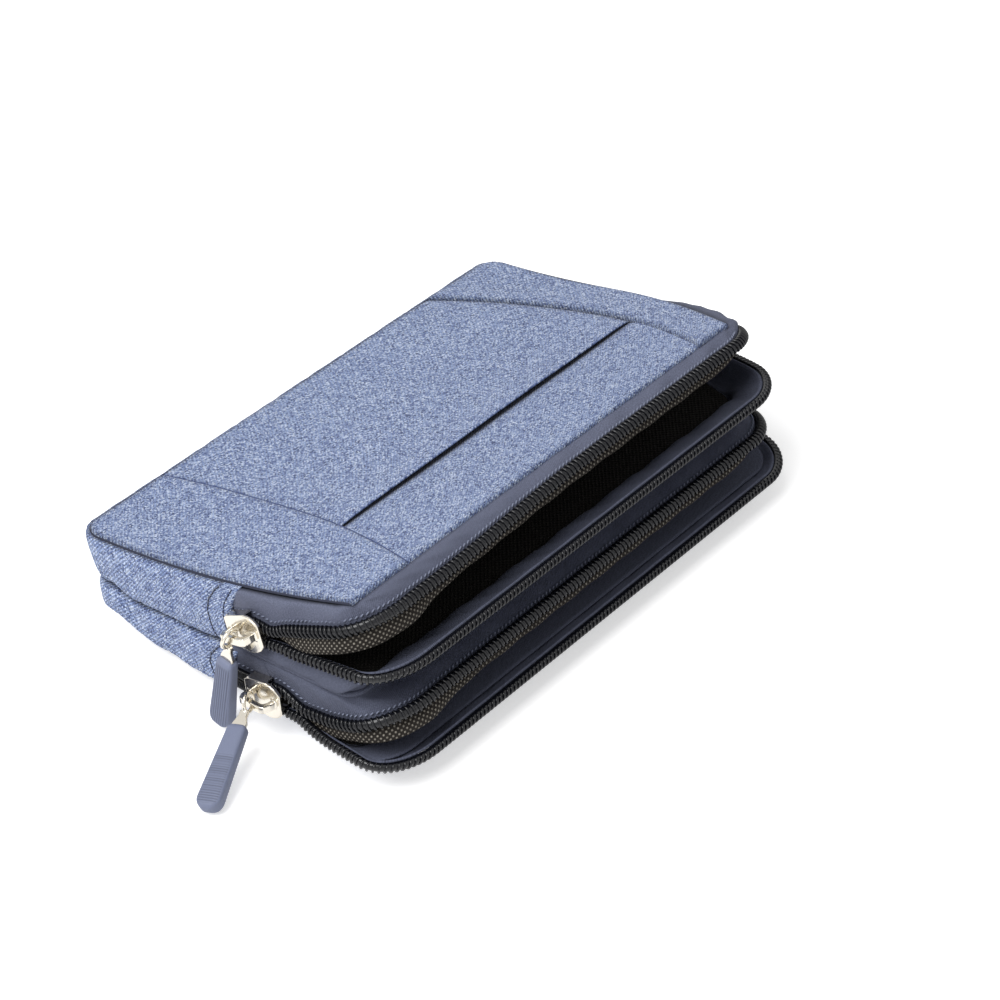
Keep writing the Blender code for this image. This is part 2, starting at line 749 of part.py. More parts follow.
def slider_body(name, slider):
    """A cast slider: two plates, flanges over the coils, wedge, and open crown."""
    tape_low = -TAPE / 2 - GAP
    coil_high = TAPE / 2 + GAP + COIL_DEPTH + GAP
    flange_low = TAPE / 2 + GAP
    inner_low = tape_low - SLIDER_PLATE
    top_high = coil_high + SLIDER_PLATE
    root = SLIDER_PLATE / 2
    body = loft(name, plate_rings(coil_high, top_high, 0.0), CAST_METAL)
    inner = operand(name + "_inner", plate_rings(inner_low, tape_low, SLIDER_LOWER_TRIM))
    boolean(body, inner, "UNION")
    for side in (-1, 1):
        rings = []
        for along in spread((SLIDER_PLATE - SLIDER_LENGTH) / 2, FLANGE_END, SLIDER_ROWS):
            near = side * channel_half(along)
            far = near + side * FLANGE_WALL
            rings.append([Vector((along, near, flange_low)), Vector((along, far, flange_low)),
                          Vector((along, far, coil_high + root)),
                          Vector((along, near, coil_high + root))])
        boolean(body, operand(name + "_flange_" + str(side + 1), rings), "UNION")
    wedge = []
    for along in spread(WEDGE_START, (SLIDER_LENGTH - SLIDER_PLATE) / 2, SLIDER_ROWS):
        half = max(chain_half(along) - COIL_WIDTH / 2 - GAP, GAP)
        wedge.append(box_ring(along, half, tape_low - root, coil_high + root))
    boolean(body, operand(name + "_wedge", wedge), "UNION")
    boolean(body, operand(name + "_crown", crown_rings(top_high)), "UNION")
    body.matrix_world = slider.frame()
    return body


def eye_height(top_high):
    """Height of the crown bar's middle, so that the pull's eye clears the plate."""
    return top_high + EYE_RADIUS + EYE_WIRE + GAP


def slider_top():
    return TAPE / 2 + GAP + COIL_DEPTH + GAP + SLIDER_PLATE


def crown_rings(top_high):
    """The crown: a bar along the travel, on a rear and a front leg."""
    high = eye_height(top_high)
    half_width = BAR_WIDTH / 2
    outer = crown_side(CROWN_REAR_OUTER_SHARES, CROWN_FRONT_OUTER_SHARES, 0.0,
                       CROWN_FOOT_OUTER_SHARE, high, top_high)
    inner = crown_side(CROWN_REAR_INNER_SHARES, CROWN_FRONT_INNER_SHARES, 1.0,
                       CROWN_FOOT_INNER_SHARE, high, top_high)
    rings = []
    for (far_along, far_up), (near_along, near_up) in zip(outer, inner):
        rings.append([Vector((far_along, -half_width, far_up)),
                      Vector((far_along, half_width, far_up)),
                      Vector((near_along, half_width, near_up)),
                      Vector((near_along, -half_width, near_up))])
    return rings


def crown_side(rear_shares, front_shares, rear_foot_share, front_foot_share, high, top_high):
    """The outer or inner side of the crown's outline, from its rear foot to its front foot."""
    root = top_high - SLIDER_PLATE / 2
    half_depth = BAR_DEPTH / 2
    points = [(CROWN_REAR + CROWN_LEG * rear_foot_share, root)]
    for legs, depths in rear_shares:
        points.append((CROWN_REAR + CROWN_LEG * legs, high + half_depth * depths))
    for legs, depths in front_shares:
        points.append((CROWN_FRONT - CROWN_LEG * legs, high + half_depth * depths))
    points.append((CROWN_FRONT - CROWN_LEG * front_foot_share, root))
    return points


def pull_frame(slider, direction):
    """The pull's own frame, on the crown bar: x along the pull, y across, z through it."""
    hinge = slider.frame() @ Vector((EYE_PLACE, 0, eye_height(slider_top())))
    along = Vector(direction).normalized()
    across = (slider.travel - along * slider.travel.dot(along)).normalized()
    through = along.cross(across)
    turned = Matrix((along, across, through)).transposed().to_4x4()
    return Matrix.Translation(hinge) @ turned


def pull_link(name, slider, direction):
    """The cast link: an eye round the crown bar and a flat shank."""
    bpy.ops.mesh.primitive_torus_add(major_radius=EYE_RADIUS, minor_radius=EYE_WIRE,
                                     major_segments=EYE_SEGMENTS,
                                     minor_segments=WIRE_SEGMENTS,
                                     rotation=(math.pi / 2, 0, 0))
    link = bpy.context.object
    for group in list(link.users_collection):
        group.objects.unlink(link)
    PARTS.objects.link(link)
    link.name = name
    give_finish(link, CAST_METAL)
    link.data.transform(Matrix.Rotation(math.pi / 2, 4, "X"))
    link.rotation_euler = (0, 0, 0)
    half = SHANK_THICKNESS / 2
    start = EYE_RADIUS
    rings = [box_ring(start, SHANK_ROOT_WIDTH / 2, -half, half),
             box_ring(start + SHANK_NECK, SHANK_ROOT_WIDTH / 2, -half, half),
             box_ring(GRIP_START - SHANK_SHOULDER, SHANK_WIDTH / 2, -half, half),
             box_ring(SHANK_END, SHANK_WIDTH / 2, -half, half)]
    boolean(link, operand(name + "_shank", rings), "UNION")
    link.matrix_world = pull_frame(slider, direction)
    return link


def grip_ring(along, half_width, half_thickness):
    """A bevelled section with lengthwise ribs on its two broad faces."""
    bevel = min(GRIP_BEVEL, half_thickness * GRIP_BEVEL_LIMIT_SHARE,
                half_width * GRIP_BEVEL_LIMIT_SHARE)
    flat = half_width - bevel
    rib = min(GRIP_RIB, half_thickness * GRIP_RIB_LIMIT_SHARE)
    face = []
    for step in range(GRIP_RIBS + 1):
        across = mix(-flat, flat, step / GRIP_RIBS)
        depth = rib if 0 < step < GRIP_RIBS and step % 2 else 0.0
        face.append((across, half_thickness - depth))
    side = half_thickness - bevel
    points = [(half_width, -side), (half_width, side)]
    points += [(across, high) for across, high in reversed(face)]
    points += [(-half_width, side), (-half_width, -side)]
    points += [(across, -high) for across, high in face]
    return [Vector((along, across, through)) for across, through in points]


def pull_grip(name, slider, direction):
    """The moulded grip: it widens towards a rounded end, with a slot for the shank."""
    rings = []
    length = GRIP_END - GRIP_START
    for share in GRIP_PLACE_SHARES:
        widen = smooth_step(share / GRIP_WIDEN_SHARE)
        past = max(share - GRIP_ROUND_START_SHARE, 0.0) / GRIP_ROUND_REACH_SHARE
        round_end = math.sqrt(max(1 - past ** 2, 0.0))
        top_round = GRIP_TOP_SHARE if share == 0.0 else 1.0
        half_width = mix(GRIP_TOP_WIDTH, GRIP_WIDTH, widen) / 2 * round_end * top_round
        half_thickness = mix(GRIP_TOP_THICKNESS, GRIP_THICKNESS, widen) / 2 * top_round
        half_thickness *= mix(GRIP_END_THICKNESS_SHARE, 1.0, round_end)
        rings.append(grip_ring(GRIP_START + length * share, half_width, half_thickness))
    grip = loft(name, rings, MOULDED_GRIP)
    half = SHANK_THICKNESS / 2 + GAP
    slot = [box_ring(GRIP_START - SHANK_THICKNESS, SHANK_WIDTH / 2 + GAP, -half, half),
            box_ring(SHANK_END + GAP, SHANK_WIDTH / 2 + GAP, -half, half)]
    boolean(grip, operand(name + "_slot", slot), "DIFFERENCE")
    grip.matrix_world = pull_frame(slider, direction)
    return grip


def belt_loop(name, x):
    """A webbing loop sewn to the back at both ends, standing off for the belt."""
    top = CHANNEL_DEPTH - GAP
    half_flat = LOOP_FLAT / 2
    half_slope = half_flat + LOOP_SLOPE
    half_all = half_slope + LOOP_PAD
    low = LOOP_WEBBING - LOOP_HEIGHT
    outer = [(-half_all, top - LOOP_WEBBING), (-half_slope, top - LOOP_WEBBING),
             (-half_flat, -LOOP_HEIGHT), (half_flat, -LOOP_HEIGHT),
             (half_slope, top - LOOP_WEBBING), (half_all, top - LOOP_WEBBING)]
    inner = [(-half_all, top), (-half_slope + LOOP_WEBBING / 2, top),
             (-half_flat + LOOP_WEBBING / 2, low), (half_flat - LOOP_WEBBING / 2, low),
             (half_slope - LOOP_WEBBING / 2, top), (half_all, top)]
    rings = []
    for (out_y, out_z), (in_y, in_z) in zip(outer, inner):
        rings.append([Vector((x - LOOP_WIDTH / 2, LOOP_CENTRE_Y + out_y, out_z)),
                      Vector((x + LOOP_WIDTH / 2, LOOP_CENTRE_Y + out_y, out_z)),
                      Vector((x + LOOP_WIDTH / 2, LOOP_CENTRE_Y + in_y, in_z)),
                      Vector((x - LOOP_WIDTH / 2, LOOP_CENTRE_Y + in_y, in_z))])
    return loft(name, rings, LOOP_CLOTH)


def build():
    front_cover()
    wall("divider_panel", MIDDLE, divider_top, DIVIDER, TAPE_CLOTH)
    back_wall()
    gusset("front_gusset", FRONT, front_rim, MIDDLE, divider_top, WALL_CLOTH / 2)
    gusset("rear_gusset", MIDDLE, divider_bottom, BACK, back_top, WALL_CLOTH / 4)
    divider_piping()
    for name, lip in LIPS.items():
        tape(name + "_tape", lip)
        coil(name + "_coil", lip)
    for end, side in ((-1, "near"), (1, "far")):
        end_tab("front_end_tab_" + side, FRONT, front_rim, divider_top, end)
        end_tab("rear_end_tab_" + side, BACK, divider_bottom, back_top, end)
        belt_loop("belt_loop_" + side, end * LOOP_X)
    pulls = (("front", FRONT_SLIDER, FRONT_PULL_DIRECTION),
             ("rear", REAR_SLIDER, REAR_PULL_DIRECTION))
    for name, slider, direction in pulls:
        slider_body(name + "_slider_body", slider)
        pull_link(name + "_pull_link", slider, direction)
        pull_grip(name + "_pull_grip", slider, direction)


clear_scene()
PARTS = collection("phone_belt_pouch")
CUTTERS = collection("cutters")
build()
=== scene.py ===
"""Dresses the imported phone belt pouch: cloth, zips, cast sliders, floor, lights and camera.

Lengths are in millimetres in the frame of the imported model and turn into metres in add_piece.
X runs along the pouch away from the sliders, -Y is the mouth side, +Z is up.
"""

from dataclasses import dataclass, replace
import math

import bpy
import numpy as np
from mathutils import Matrix, Vector


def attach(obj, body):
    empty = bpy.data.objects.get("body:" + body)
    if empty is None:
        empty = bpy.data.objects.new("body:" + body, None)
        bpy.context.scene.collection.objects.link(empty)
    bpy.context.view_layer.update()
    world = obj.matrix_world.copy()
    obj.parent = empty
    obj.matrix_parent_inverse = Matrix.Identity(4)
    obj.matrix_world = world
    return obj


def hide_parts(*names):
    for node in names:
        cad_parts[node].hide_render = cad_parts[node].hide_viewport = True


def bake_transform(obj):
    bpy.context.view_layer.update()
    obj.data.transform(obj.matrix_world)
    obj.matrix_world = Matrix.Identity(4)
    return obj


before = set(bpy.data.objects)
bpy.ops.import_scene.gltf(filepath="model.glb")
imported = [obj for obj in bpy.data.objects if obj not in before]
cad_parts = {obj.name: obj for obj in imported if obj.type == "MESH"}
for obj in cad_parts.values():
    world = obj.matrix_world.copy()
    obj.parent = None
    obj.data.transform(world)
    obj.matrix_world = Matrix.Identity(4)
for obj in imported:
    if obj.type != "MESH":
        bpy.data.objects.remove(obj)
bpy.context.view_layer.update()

MM = 0.001


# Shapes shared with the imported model

BEND_Y = 6.0  # from here the walls' ends curve in towards the mouth
SEAM_IN = 1.0  # the walls' seams lie this far inside the outlines
SEAM_DROP = 0.9  # and the cover's seam this far below its top
SLOT_Y = -15.0  # the card pocket's opening
TAPE_EDGE_IN = 0.4  # the tapes are sewn this far inside the outlines
TAPE_START_Y = -6.0
SEAM_X = 79.6  # how far out the closed chains run at the near end
FAR_TRIM = 1.5  # at the far end they run this much further in
SLIDER_LENGTH = 11.5
CHAIN_HALF = 1.6  # half the distance between the two seams of a closed chain
SLIDER_SPREAD = 1.7  # how far the slider moves each seam out
LIP_BLEND = 8.0  # the run in which a lip leaves the slider's line for its own
LIP_CORNER_NEAR = 14.0
LIP_CORNER_FAR = 9.0
LIP_CORNER_Y = 9.0
LIP_LINE_Y = -13.0  # where a lip has its start height
LEAN_RUN = 15.0  # the run beyond the slider in which a tape takes up its lean
UP = np.array([0.0, 0.0, 1.0])


def smooth(value):
    """Eases from 0 to 1 while the value goes from 0 to 1."""
    value = np.clip(value, 0.0, 1.0)
    return value * value * (3.0 - 2.0 * value)


def mix(first, second, share):
    return first * (1.0 - share) + second * share


def unit(vectors):
    return vectors / np.linalg.norm(vectors, axis=-1, keepdims=True)


def ramp(first, last, count):
    """Evenly spread values with both ends, closer together near the ends."""
    share = np.linspace(0.0, 1.0, count)
    bunched = mix(share, 0.5 - 0.5 * np.cos(math.pi * share), 0.8)
    return mix(first, last, bunched)


def eased(count):
    """Values from 0 to 1 that lie close together at both ends."""
    return 0.5 - 0.5 * np.cos(np.linspace(0.0, math.pi, count))


def full_turn(count):
    return np.linspace(0.0, 2 * math.pi, count, endpoint=False)


def square_to(vectors, run):
    """The vectors without what points along a run, as unit vectors."""
    return unit(vectors - run * np.sum(vectors * run, -1, keepdims=True))


def powered(wave, power):
    """A wave raised to a power with its sign kept. A power below 1 makes it boxier."""
    return np.sign(wave) * np.abs(wave) ** power


@dataclass
class Outline:
    """A wall's outline from above: straight ends that curve in towards the mouth."""

    near: float
    far: float
    closed: float
    mouth: float
    radius: float
    mouth_radius: float
    near_inset: float
    far_inset: float

    def trimmed(self, margin):
        """The outline drawn in by a margin everywhere but at the mouth."""
        return replace(self, near=self.near + margin, far=self.far - margin,
                       closed=self.closed - margin, radius=self.radius - margin)

    def drawn_in(self, margin):
        """The outline drawn in by a margin all round."""
        return replace(self.trimmed(margin), mouth=self.mouth + margin,
                       radius=max(self.radius - margin, 0.1),
                       mouth_radius=max(self.mouth_radius - margin, 0.0))

    def bend(self, y):
        return np.maximum((BEND_Y - y) / (BEND_Y - self.mouth), 0.0) ** 2

    def rounding(self, y):
        """How far a quarter circle at each corner draws the ends in."""
        radius = np.where(y < 0.0, self.mouth_radius, self.radius)
        reach = np.where(y < 0.0, self.mouth + self.mouth_radius - y,
                         y - (self.closed - self.radius))
        reach = np.clip(reach, 0.0, radius)
        return radius - np.sqrt(radius ** 2 - reach ** 2)

    def left(self, y):
        return self.near + self.near_inset * self.bend(y) + self.rounding(y)

    def right(self, y):
        return self.far - self.far_inset * self.bend(y) - self.rounding(y)

    def side(self, end, y):
        return self.left(y) if end < 0 else self.right(y)


FRONT = Outline(near=-80.0, far=78.5, closed=46.0, mouth=-44.0, radius=7.0, mouth_radius=0.0,
                near_inset=1.5, far_inset=12.0)
MIDDLE = Outline(near=-80.0, far=78.5, closed=41.0, mouth=-46.0, radius=6.0, mouth_radius=5.0,
                 near_inset=0.0, far_inset=9.0)
BACK = Outline(near=-80.0, far=78.5, closed=40.0, mouth=-47.0, radius=6.0, mouth_radius=5.0,
               near_inset=0.0, far_inset=6.0)


def front_top(y):
    """The cover's height: it climbs from the closed edge, ever faster, to the mouth."""
    share = (FRONT.closed - y) / (FRONT.closed - FRONT.mouth)
    return 19.9 + 12.6 * share + 12.3 * share * np.abs(share)


def front_rim(y):
    """Just under the cover's cloth."""
    return front_top(y) - 2.2


def divider_middle(y):
    return 7.7 + 10.2 * (MIDDLE.closed - y) / (MIDDLE.closed - MIDDLE.mouth)


def divider_top(y):
    return divider_middle(y) + 1.1


def back_top(y):
    return np.ones_like(y)


def near_seam(y):
    """Curves towards the near end both at the mouth and, less, at the closed edge."""
    mouthwards = np.maximum((9.0 - y) / 51.0, 0.0) ** 2
    return -47.2 - 10.4 * mouthwards - 2.6 * np.maximum((y - 12.0) / 28.5, 0.0) ** 2


def far_seam(y):
    """Bows away from the near end, furthest a little to the mouth side of the middle."""
    return 63.6 - 12.5 * ((-1.0 - y) / 46.0) ** 2


# How many points a line round a mouth has in each corner and between the two
MOUTH_POINTS = {"corner": 24, "run": 140}


def rounded_corner(start, corner, end, count):
    """A rational quadratic turn between two points, without them."""
    share = (np.arange(1, count) / count)[:, None]
    first = (1 - share) ** 2
    middle = 2 * share * (1 - share) * math.cos(math.pi / 4)
    last = share ** 2
    return (start * first + corner * middle + end * last) / (first + middle + last)


def line_of(x, y, height):
    """Points over a line in plan, at the height that the height function gives."""
    y = np.asarray(y, float)
    x = np.broadcast_to(x, y.shape)
    return np.stack([x, y, height(y)], -1)


def round_trip(near, near_corner, far_corner, far, near_turn, far_turn, corner, run):
    """Along the near end, round two corners and back along the far end. corner and run count
    the points of a corner and of the straight run between the two."""
    start = near_corner + np.array([near_turn, 0.0, 0.0])
    end = far_corner - np.array([far_turn, 0.0, 0.0])
    flat = start + (end - start) * np.linspace(0.0, 1.0, run)[:, None]
    return np.concatenate([near, rounded_corner(near[-1], near_corner, start, corner), flat,
                           rounded_corner(end, far_corner, far[-1], corner), far[::-1]])


def rim_line(outline, height, ys, edge_y, turn, corner, run):
    """The rim of a wall: along its near end, across at an edge and back along its far end."""
    near, far = (line_of(outline.side(end, ys), ys, height) for end in (-1, 1))
    corners = (np.array([side[-1, 0], edge_y, 0.0]) for side in (near, far))
    points = round_trip(near, *corners, far, turn, turn, corner, run)
    points[:, 2] = height(points[:, 1])
    return points


def closed_line(outline, height, start_y=TAPE_START_Y + 0.3, rows=70):
    """The rim of a wall round its closed side."""
    ys = np.linspace(start_y, outline.closed - outline.radius, rows)
    return rim_line(outline, height, ys, outline.closed, outline.radius, corner=14, run=90)


def mouth_line(outline, height, shares):
    """The rim of a wall round its mouth. The shares place the points along the two ends."""
    turn = max(outline.mouth_radius, 4.0)
    ys = mix(TAPE_START_Y, outline.mouth + turn, shares)
    return rim_line(outline, height, ys, outline.mouth, turn, **MOUTH_POINTS)


class Slider:
    """Where a slider sits, which way it travels to close the zip, and across the chain."""

    def __init__(self, y, z, tilt):
        self.centre = np.array([-SEAM_X, y, z])
        self.travel = np.array([0.0, -math.cos(tilt), math.sin(tilt)])
        self.width = np.array([0.0, math.sin(tilt), math.cos(tilt)])


FRONT_SLIDER = Slider(y=-14.8, z=22.6, tilt=math.radians(18))
REAR_SLIDER = Slider(y=-20.0, z=5.2, tilt=math.radians(5))


def chain_half(along):
    """Half the distance between the two seams at a distance along the slider's travel."""
    return CHAIN_HALF + SLIDER_SPREAD * smooth((along + SLIDER_LENGTH / 2) / SLIDER_LENGTH)


def no_sag(x, y):
    return 0.0 * y


def far_reach(x, y):
    """Rises from 0 at the mouth's far corner to 1 along the far end."""
    return smooth((y + 49.0) / 10.0) * (x > 30.0)


def front_sag(x, y):
    """How far the cover's zip hangs down: most at the two ends and by the near corner."""
    share = np.maximum(smooth((-2.0 - x) / 55.0), far_reach(x, y))
    return smooth((-12.0 - y) / 12.0) * (1.3 + 2.0 * share)


def rear_sag(x, y):
    """How far the divider's zip hangs down beside the mouth."""
    return 3.0 * smooth((-22.0 - y) / 10.0) * smooth((y + 55.0) / 18.0)


@dataclass
class Lip:
    """One lip of a zip: its seat on a wall, and the seam that carries its coil.

    side is 1 for an upper lip and -1 for a lower one. The seam climbs from start_z by slope,
    and the insets draw it in towards the mouth. stand leans the tape up or down beyond the
    slider, valley sends it into the valley over the divider, and spread_x moves it out."""

    slider: Slider
    side: int
    rim: Outline
    seat_height: object
    start_z: float
    slope: float
    mouth_y: float
    near_inset: float
    far_inset: float
    stand: float
    valley: float = 0.0
    spread_x: float = 0.0
    sag: object = no_sag

    @property
    def settled(self):
        """Where the seam has come out of the slider, in y."""
        return self.slider.centre[1] - SLIDER_LENGTH / 2

    def seam_height(self, y):
        return self.start_z + self.slope * (LIP_LINE_Y - y)

    def seam_x(self, y, end):
        out = self.spread_x * smooth((self.settled - y) / (2 * LIP_BLEND))
        share = np.maximum((self.settled - y) / (self.settled - self.mouth_y), 0.0) ** 2
        if end < 0:
            return -(SEAM_X + out - self.near_inset * share)
        return SEAM_X - FAR_TRIM + out - self.far_inset * share

    def seam_points(self, ys, end, spread):
        """Points of the seam: set by the slider near it, by the lip's own line beyond."""
        slider = self.slider
        start_y = slider.centre[1] + slider.width[1] * self.side * CHAIN_HALF
        along = (start_y - ys) / -slider.travel[1]
        half = mix(CHAIN_HALF, chain_half(along), spread)
        guided = (slider.centre + along[:, None] * slider.travel
                  + (self.side * half)[:, None] * slider.width)
        guided[:, 0] = end * SEAM_X - (FAR_TRIM if end > 0 else 0.0)
        y = guided[:, 1]
        free = np.stack([self.seam_x(y, end), y, self.seam_height(y)], -1)
        return mix(guided, free, smooth((along - SLIDER_LENGTH / 2) / LIP_BLEND)[:, None])

    def stations(self):
        near_slider = self.settled - LIP_BLEND
        return np.concatenate([np.linspace(TAPE_START_Y, near_slider, 50),
                               np.linspace(near_slider, self.mouth_y + LIP_CORNER_Y, 40)[1:]])

    def lines(self, spread=1.0):
        """Seat, seam, direction of travel, across the tape and outward, point for point.

        Across leans up or down by the lip's stand, more and more beyond the slider."""
        ys = self.stations()
        near, far = (self.seam_points(ys, end, spread) for end in (-1, 1))
        corners = (np.array([self.seam_x(self.mouth_y, end), self.mouth_y,
                             self.seam_height(self.mouth_y)]) for end in (-1, 1))
        seam = round_trip(near, *corners, far, LIP_CORNER_NEAR, LIP_CORNER_FAR, **MOUTH_POINTS)
        seam[:, 2] -= self.sag(seam[:, 0], seam[:, 1])
        seat = mouth_line(self.rim, self.seat_height, (ys - ys[0]) / (ys[-1] - ys[0]))
        run = unit(np.gradient(seam, axis=0))
        lean = self.stand * self.side * smooth((self.settled - seam[:, 1]) / LEAN_RUN)
        across = unit(seat - seam) + lean[:, None] * UP
        across = square_to(across, run)
        outward = unit(np.cross(run, across)) * self.side
        return seat, seam, run, across, outward


LIPS = {
    "front_upper": Lip(FRONT_SLIDER, side=1, rim=FRONT.drawn_in(SEAM_IN),
                       seat_height=lambda y: front_top(y) - 1.3, start_z=24.9, slope=0.50,
                       mouth_y=-49.2, near_inset=1.5, far_inset=10.3, stand=0.3,
                       sag=front_sag),
    "front_lower": Lip(FRONT_SLIDER, side=-1, rim=MIDDLE.drawn_in(TAPE_EDGE_IN),
                       seat_height=lambda y: divider_middle(y) + 0.5, start_z=19.2,
                       slope=0.225, mouth_y=-55.9, near_inset=0.0, far_inset=8.0, stand=0.2,
                       valley=1.0),
    "rear_upper": Lip(REAR_SLIDER, side=1, rim=MIDDLE.drawn_in(TAPE_EDGE_IN),
                      seat_height=lambda y: divider_middle(y) - 0.5, start_z=6.1, slope=0.18,
                      mouth_y=-55.7, near_inset=0.0, far_inset=8.0, stand=0.3, valley=1.0,
                      sag=rear_sag),
    "rear_lower": Lip(REAR_SLIDER, side=-1, rim=BACK.drawn_in(TAPE_EDGE_IN),
                      seat_height=lambda y: back_top(y) + 0.3, start_z=2.8, slope=0.0,
                      mouth_y=-58.8, near_inset=0.0, far_inset=5.0, stand=1.2, spread_x=1.5),
}


# Making meshes

def quads_of(rows, columns, round_columns=False):
    """Corner numbers of the quads of a grid of points."""
    index = np.arange(rows * columns).reshape(rows, columns)
    if round_columns:
        index = np.hstack([index, index[:, :1]])
    corners = [index[:-1, :-1], index[1:, :-1], index[1:, 1:], index[:-1, 1:]]
    return np.stack(corners, -1).reshape(-1, 4)


def tube_quads(rows, sides):
    """Quads of a tube and of the caps on its two ends, for an even number of sides."""
    place = np.arange(1, sides - 2, 2)
    first = np.stack([np.zeros_like(place), place, place + 1, place + 2], -1)
    return np.concatenate([quads_of(rows, sides, round_columns=True), first,
                           first[:, ::-1] + (rows - 1) * sides])


def length_along(points):
    """Distance travelled along a line of points, from its start."""
    steps = np.linalg.norm(np.diff(points, axis=0), axis=-1)
    return np.concatenate([[0.0], np.cumsum(steps)])


def surface_uv(grid):
    """Real distances on a surface, across its columns and along its rows."""
    rows, columns = grid.shape[:2]
    across = np.linalg.norm(np.diff(grid, axis=1), axis=-1)
    u = np.concatenate([np.zeros((rows, 1)), np.cumsum(across, axis=1)], axis=1)
    u -= u[:, columns // 2][:, None]
    v = np.broadcast_to(length_along(grid[:, columns // 2])[:, None], u.shape)
    return np.stack([u, v], -1)


def both_faces(face, other=None):
    """The rows of one face's grid, each followed by the other face's row in reverse."""
    other = face if other is None else other
    return np.concatenate([face, other[:, ::-1]], axis=1)


def shell_of(top, bottom):
    """A closed skin over two grids of points that lie face to face."""
    rows, columns = top.shape[:2]
    quads = quads_of(rows, 2 * columns, round_columns=True)
    place = np.arange(columns - 1)
    first = np.stack([place, place + 1, 2 * columns - 2 - place, 2 * columns - 1 - place], -1)
    last = first[:, ::-1] + (rows - 1) * 2 * columns
    return both_faces(top, bottom).reshape(-1, 3), np.concatenate([quads, first, last])


def tube_of(path, first_side, second_side, sides):
    """A tube round a path, its section spanned by two side vectors at each point."""
    turn = full_turn(sides)
    ring = (first_side[:, None] * np.cos(turn)[None, :, None]
            + second_side[:, None] * np.sin(turn)[None, :, None])
    return (path[:, None] + ring).reshape(-1, 3), tube_quads(len(path), sides)


def cord_of(line, radius, sides):
    """A round cord on a line that nowhere runs straight up."""
    forward = unit(np.gradient(line, axis=0))
    side = unit(np.cross(forward, UP))
    return tube_of(line, side * radius, np.cross(side, forward) * radius, sides)


def joined(parts):
    """Several meshes as one array of points and one of quads."""
    starts = np.cumsum([0] + [len(part[0]) for part in parts[:-1]])
    quads = [part[1] + start for part, start in zip(parts, starts)]
    return np.concatenate([part[0] for part in parts]), np.concatenate(quads)


def picked(reach, travelled, line):
    """A line's values at distances along it."""
    return np.stack([np.interp(reach, travelled, line[:, axis]) for axis in range(3)], -1)


def stitches(path, facing, pitch, length, radius, lean=0.0):
    """A row of thread stitches on a path: six-sided spindles, lying on the cloth."""
    travelled = length_along(path)
    count = max(int(travelled[-1] / pitch), 1)
    reach = (np.arange(count) + 0.5) * travelled[-1] / count
    centre = picked(reach, travelled, path)
    ahead = unit(picked(reach, travelled, np.gradient(path, axis=0)))
    up = unit(picked(reach, travelled, np.broadcast_to(facing, path.shape)))
    ahead = unit(ahead + lean * np.cross(up, ahead))
    side = np.cross(up, ahead)
    places = np.array([-0.5, -0.34, 0.0, 0.34, 0.5]) * length
    widths = np.array([0.25, 0.8, 1.0, 0.8, 0.25])[:, None] * radius
    flat, high = widths * np.cos(full_turn(6)), widths * np.sin(full_turn(6))
    points = (centre[:, None, None] + ahead[:, None, None] * places[None, :, None, None]
              + side[:, None, None] * flat[None, :, :, None]
              + up[:, None, None] * high[None, :, :, None])
    starts = np.arange(count) * flat.size
    quads = tube_quads(*flat.shape)[None] + starts[:, None, None]
    return points.reshape(-1, 3), quads.reshape(-1, 4)


def placed(name, data):
    """A new object in the scene, at the origin and unturned."""
    item = bpy.data.objects.new(name, data)
    bpy.context.scene.collection.objects.link(item)
    return item


def add_piece(name, points, quads, material, slot, node=None, body="pouch", bend=None, uv=None,
              shade=None, inner=None):
    """A finished piece from points in millimetres, riding on a body and standing for a node.

    A piece with a bend is put on no body: its place is baked into its points. uv holds distances
    on the cloth, shade darkens it as painted shade, and inner is a second material with the
    faces it covers."""
    mesh = bpy.data.meshes.new(name)
    mesh.from_pydata((np.asarray(points) * MM).tolist(), [], quads.tolist())
    if uv is not None:
        layer = mesh.uv_layers.new(name="cloth")
        corners = np.empty(len(mesh.loops), np.int32)
        mesh.loops.foreach_get("vertex_index", corners)
        layer.data.foreach_set("uv", uv.reshape(-1, 2)[corners].astype(np.float32).ravel())
    if shade is not None:
        values = mesh.attributes.new("shade", "FLOAT", "POINT")
        values.data.foreach_set("value", np.asarray(shade, np.float32).ravel())
    mesh.shade_smooth()
    mesh.materials.append(material)
    if inner is not None:
        mesh.materials.append(inner[0])
        mesh.polygons.foreach_set("material_index", inner[1].astype(np.int32))
    piece = placed(name, mesh)
    turn_outwards(mesh)
    if bend is None:
        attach(piece, body)
    else:
        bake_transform(piece)
    if node:
        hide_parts(node)
    return piece


def add_shell(name, top, bottom, material, slot, face=None, shade=None, **settings):
    """A piece of cloth between two grids of points that lie face to face.

    Its weave follows the distances on the top grid, or on the face that is given."""
    points, quads = shell_of(top, bottom)
    uv = both_faces(surface_uv(top if face is None else face))
    shade = None if shade is None else both_faces(shade)
    return add_piece(name, points, quads, material, slot, uv=uv, shade=shade, **settings)


def inner_faces(rows, columns, hem):
    """Which quads of a shell_of skin lie on its second grid, without a hem some quads wide."""
    column = np.tile(np.arange(2 * columns), rows - 1)
    inside = (column >= columns) & (column < 2 * columns - 1 - hem)
    return np.concatenate([inside, np.zeros(2 * (columns - 1), bool)])


def turn_outwards(mesh):
    """Flips a closed skin whose signed volume is negative."""
    mesh.calc_loop_triangles()
    corners = np.empty(3 * len(mesh.loop_triangles), np.int32)
    mesh.loop_triangles.foreach_get("vertices", corners)
    points = np.empty(3 * len(mesh.vertices), np.float32)
    mesh.vertices.foreach_get("co", points)
    first, second, third = points.reshape(-1, 3)[corners.reshape(-1, 3)].swapaxes(0, 1)
    if np.einsum("ij,ij->", first, np.cross(second, third)) < 0.0:
        mesh.flip_normals()


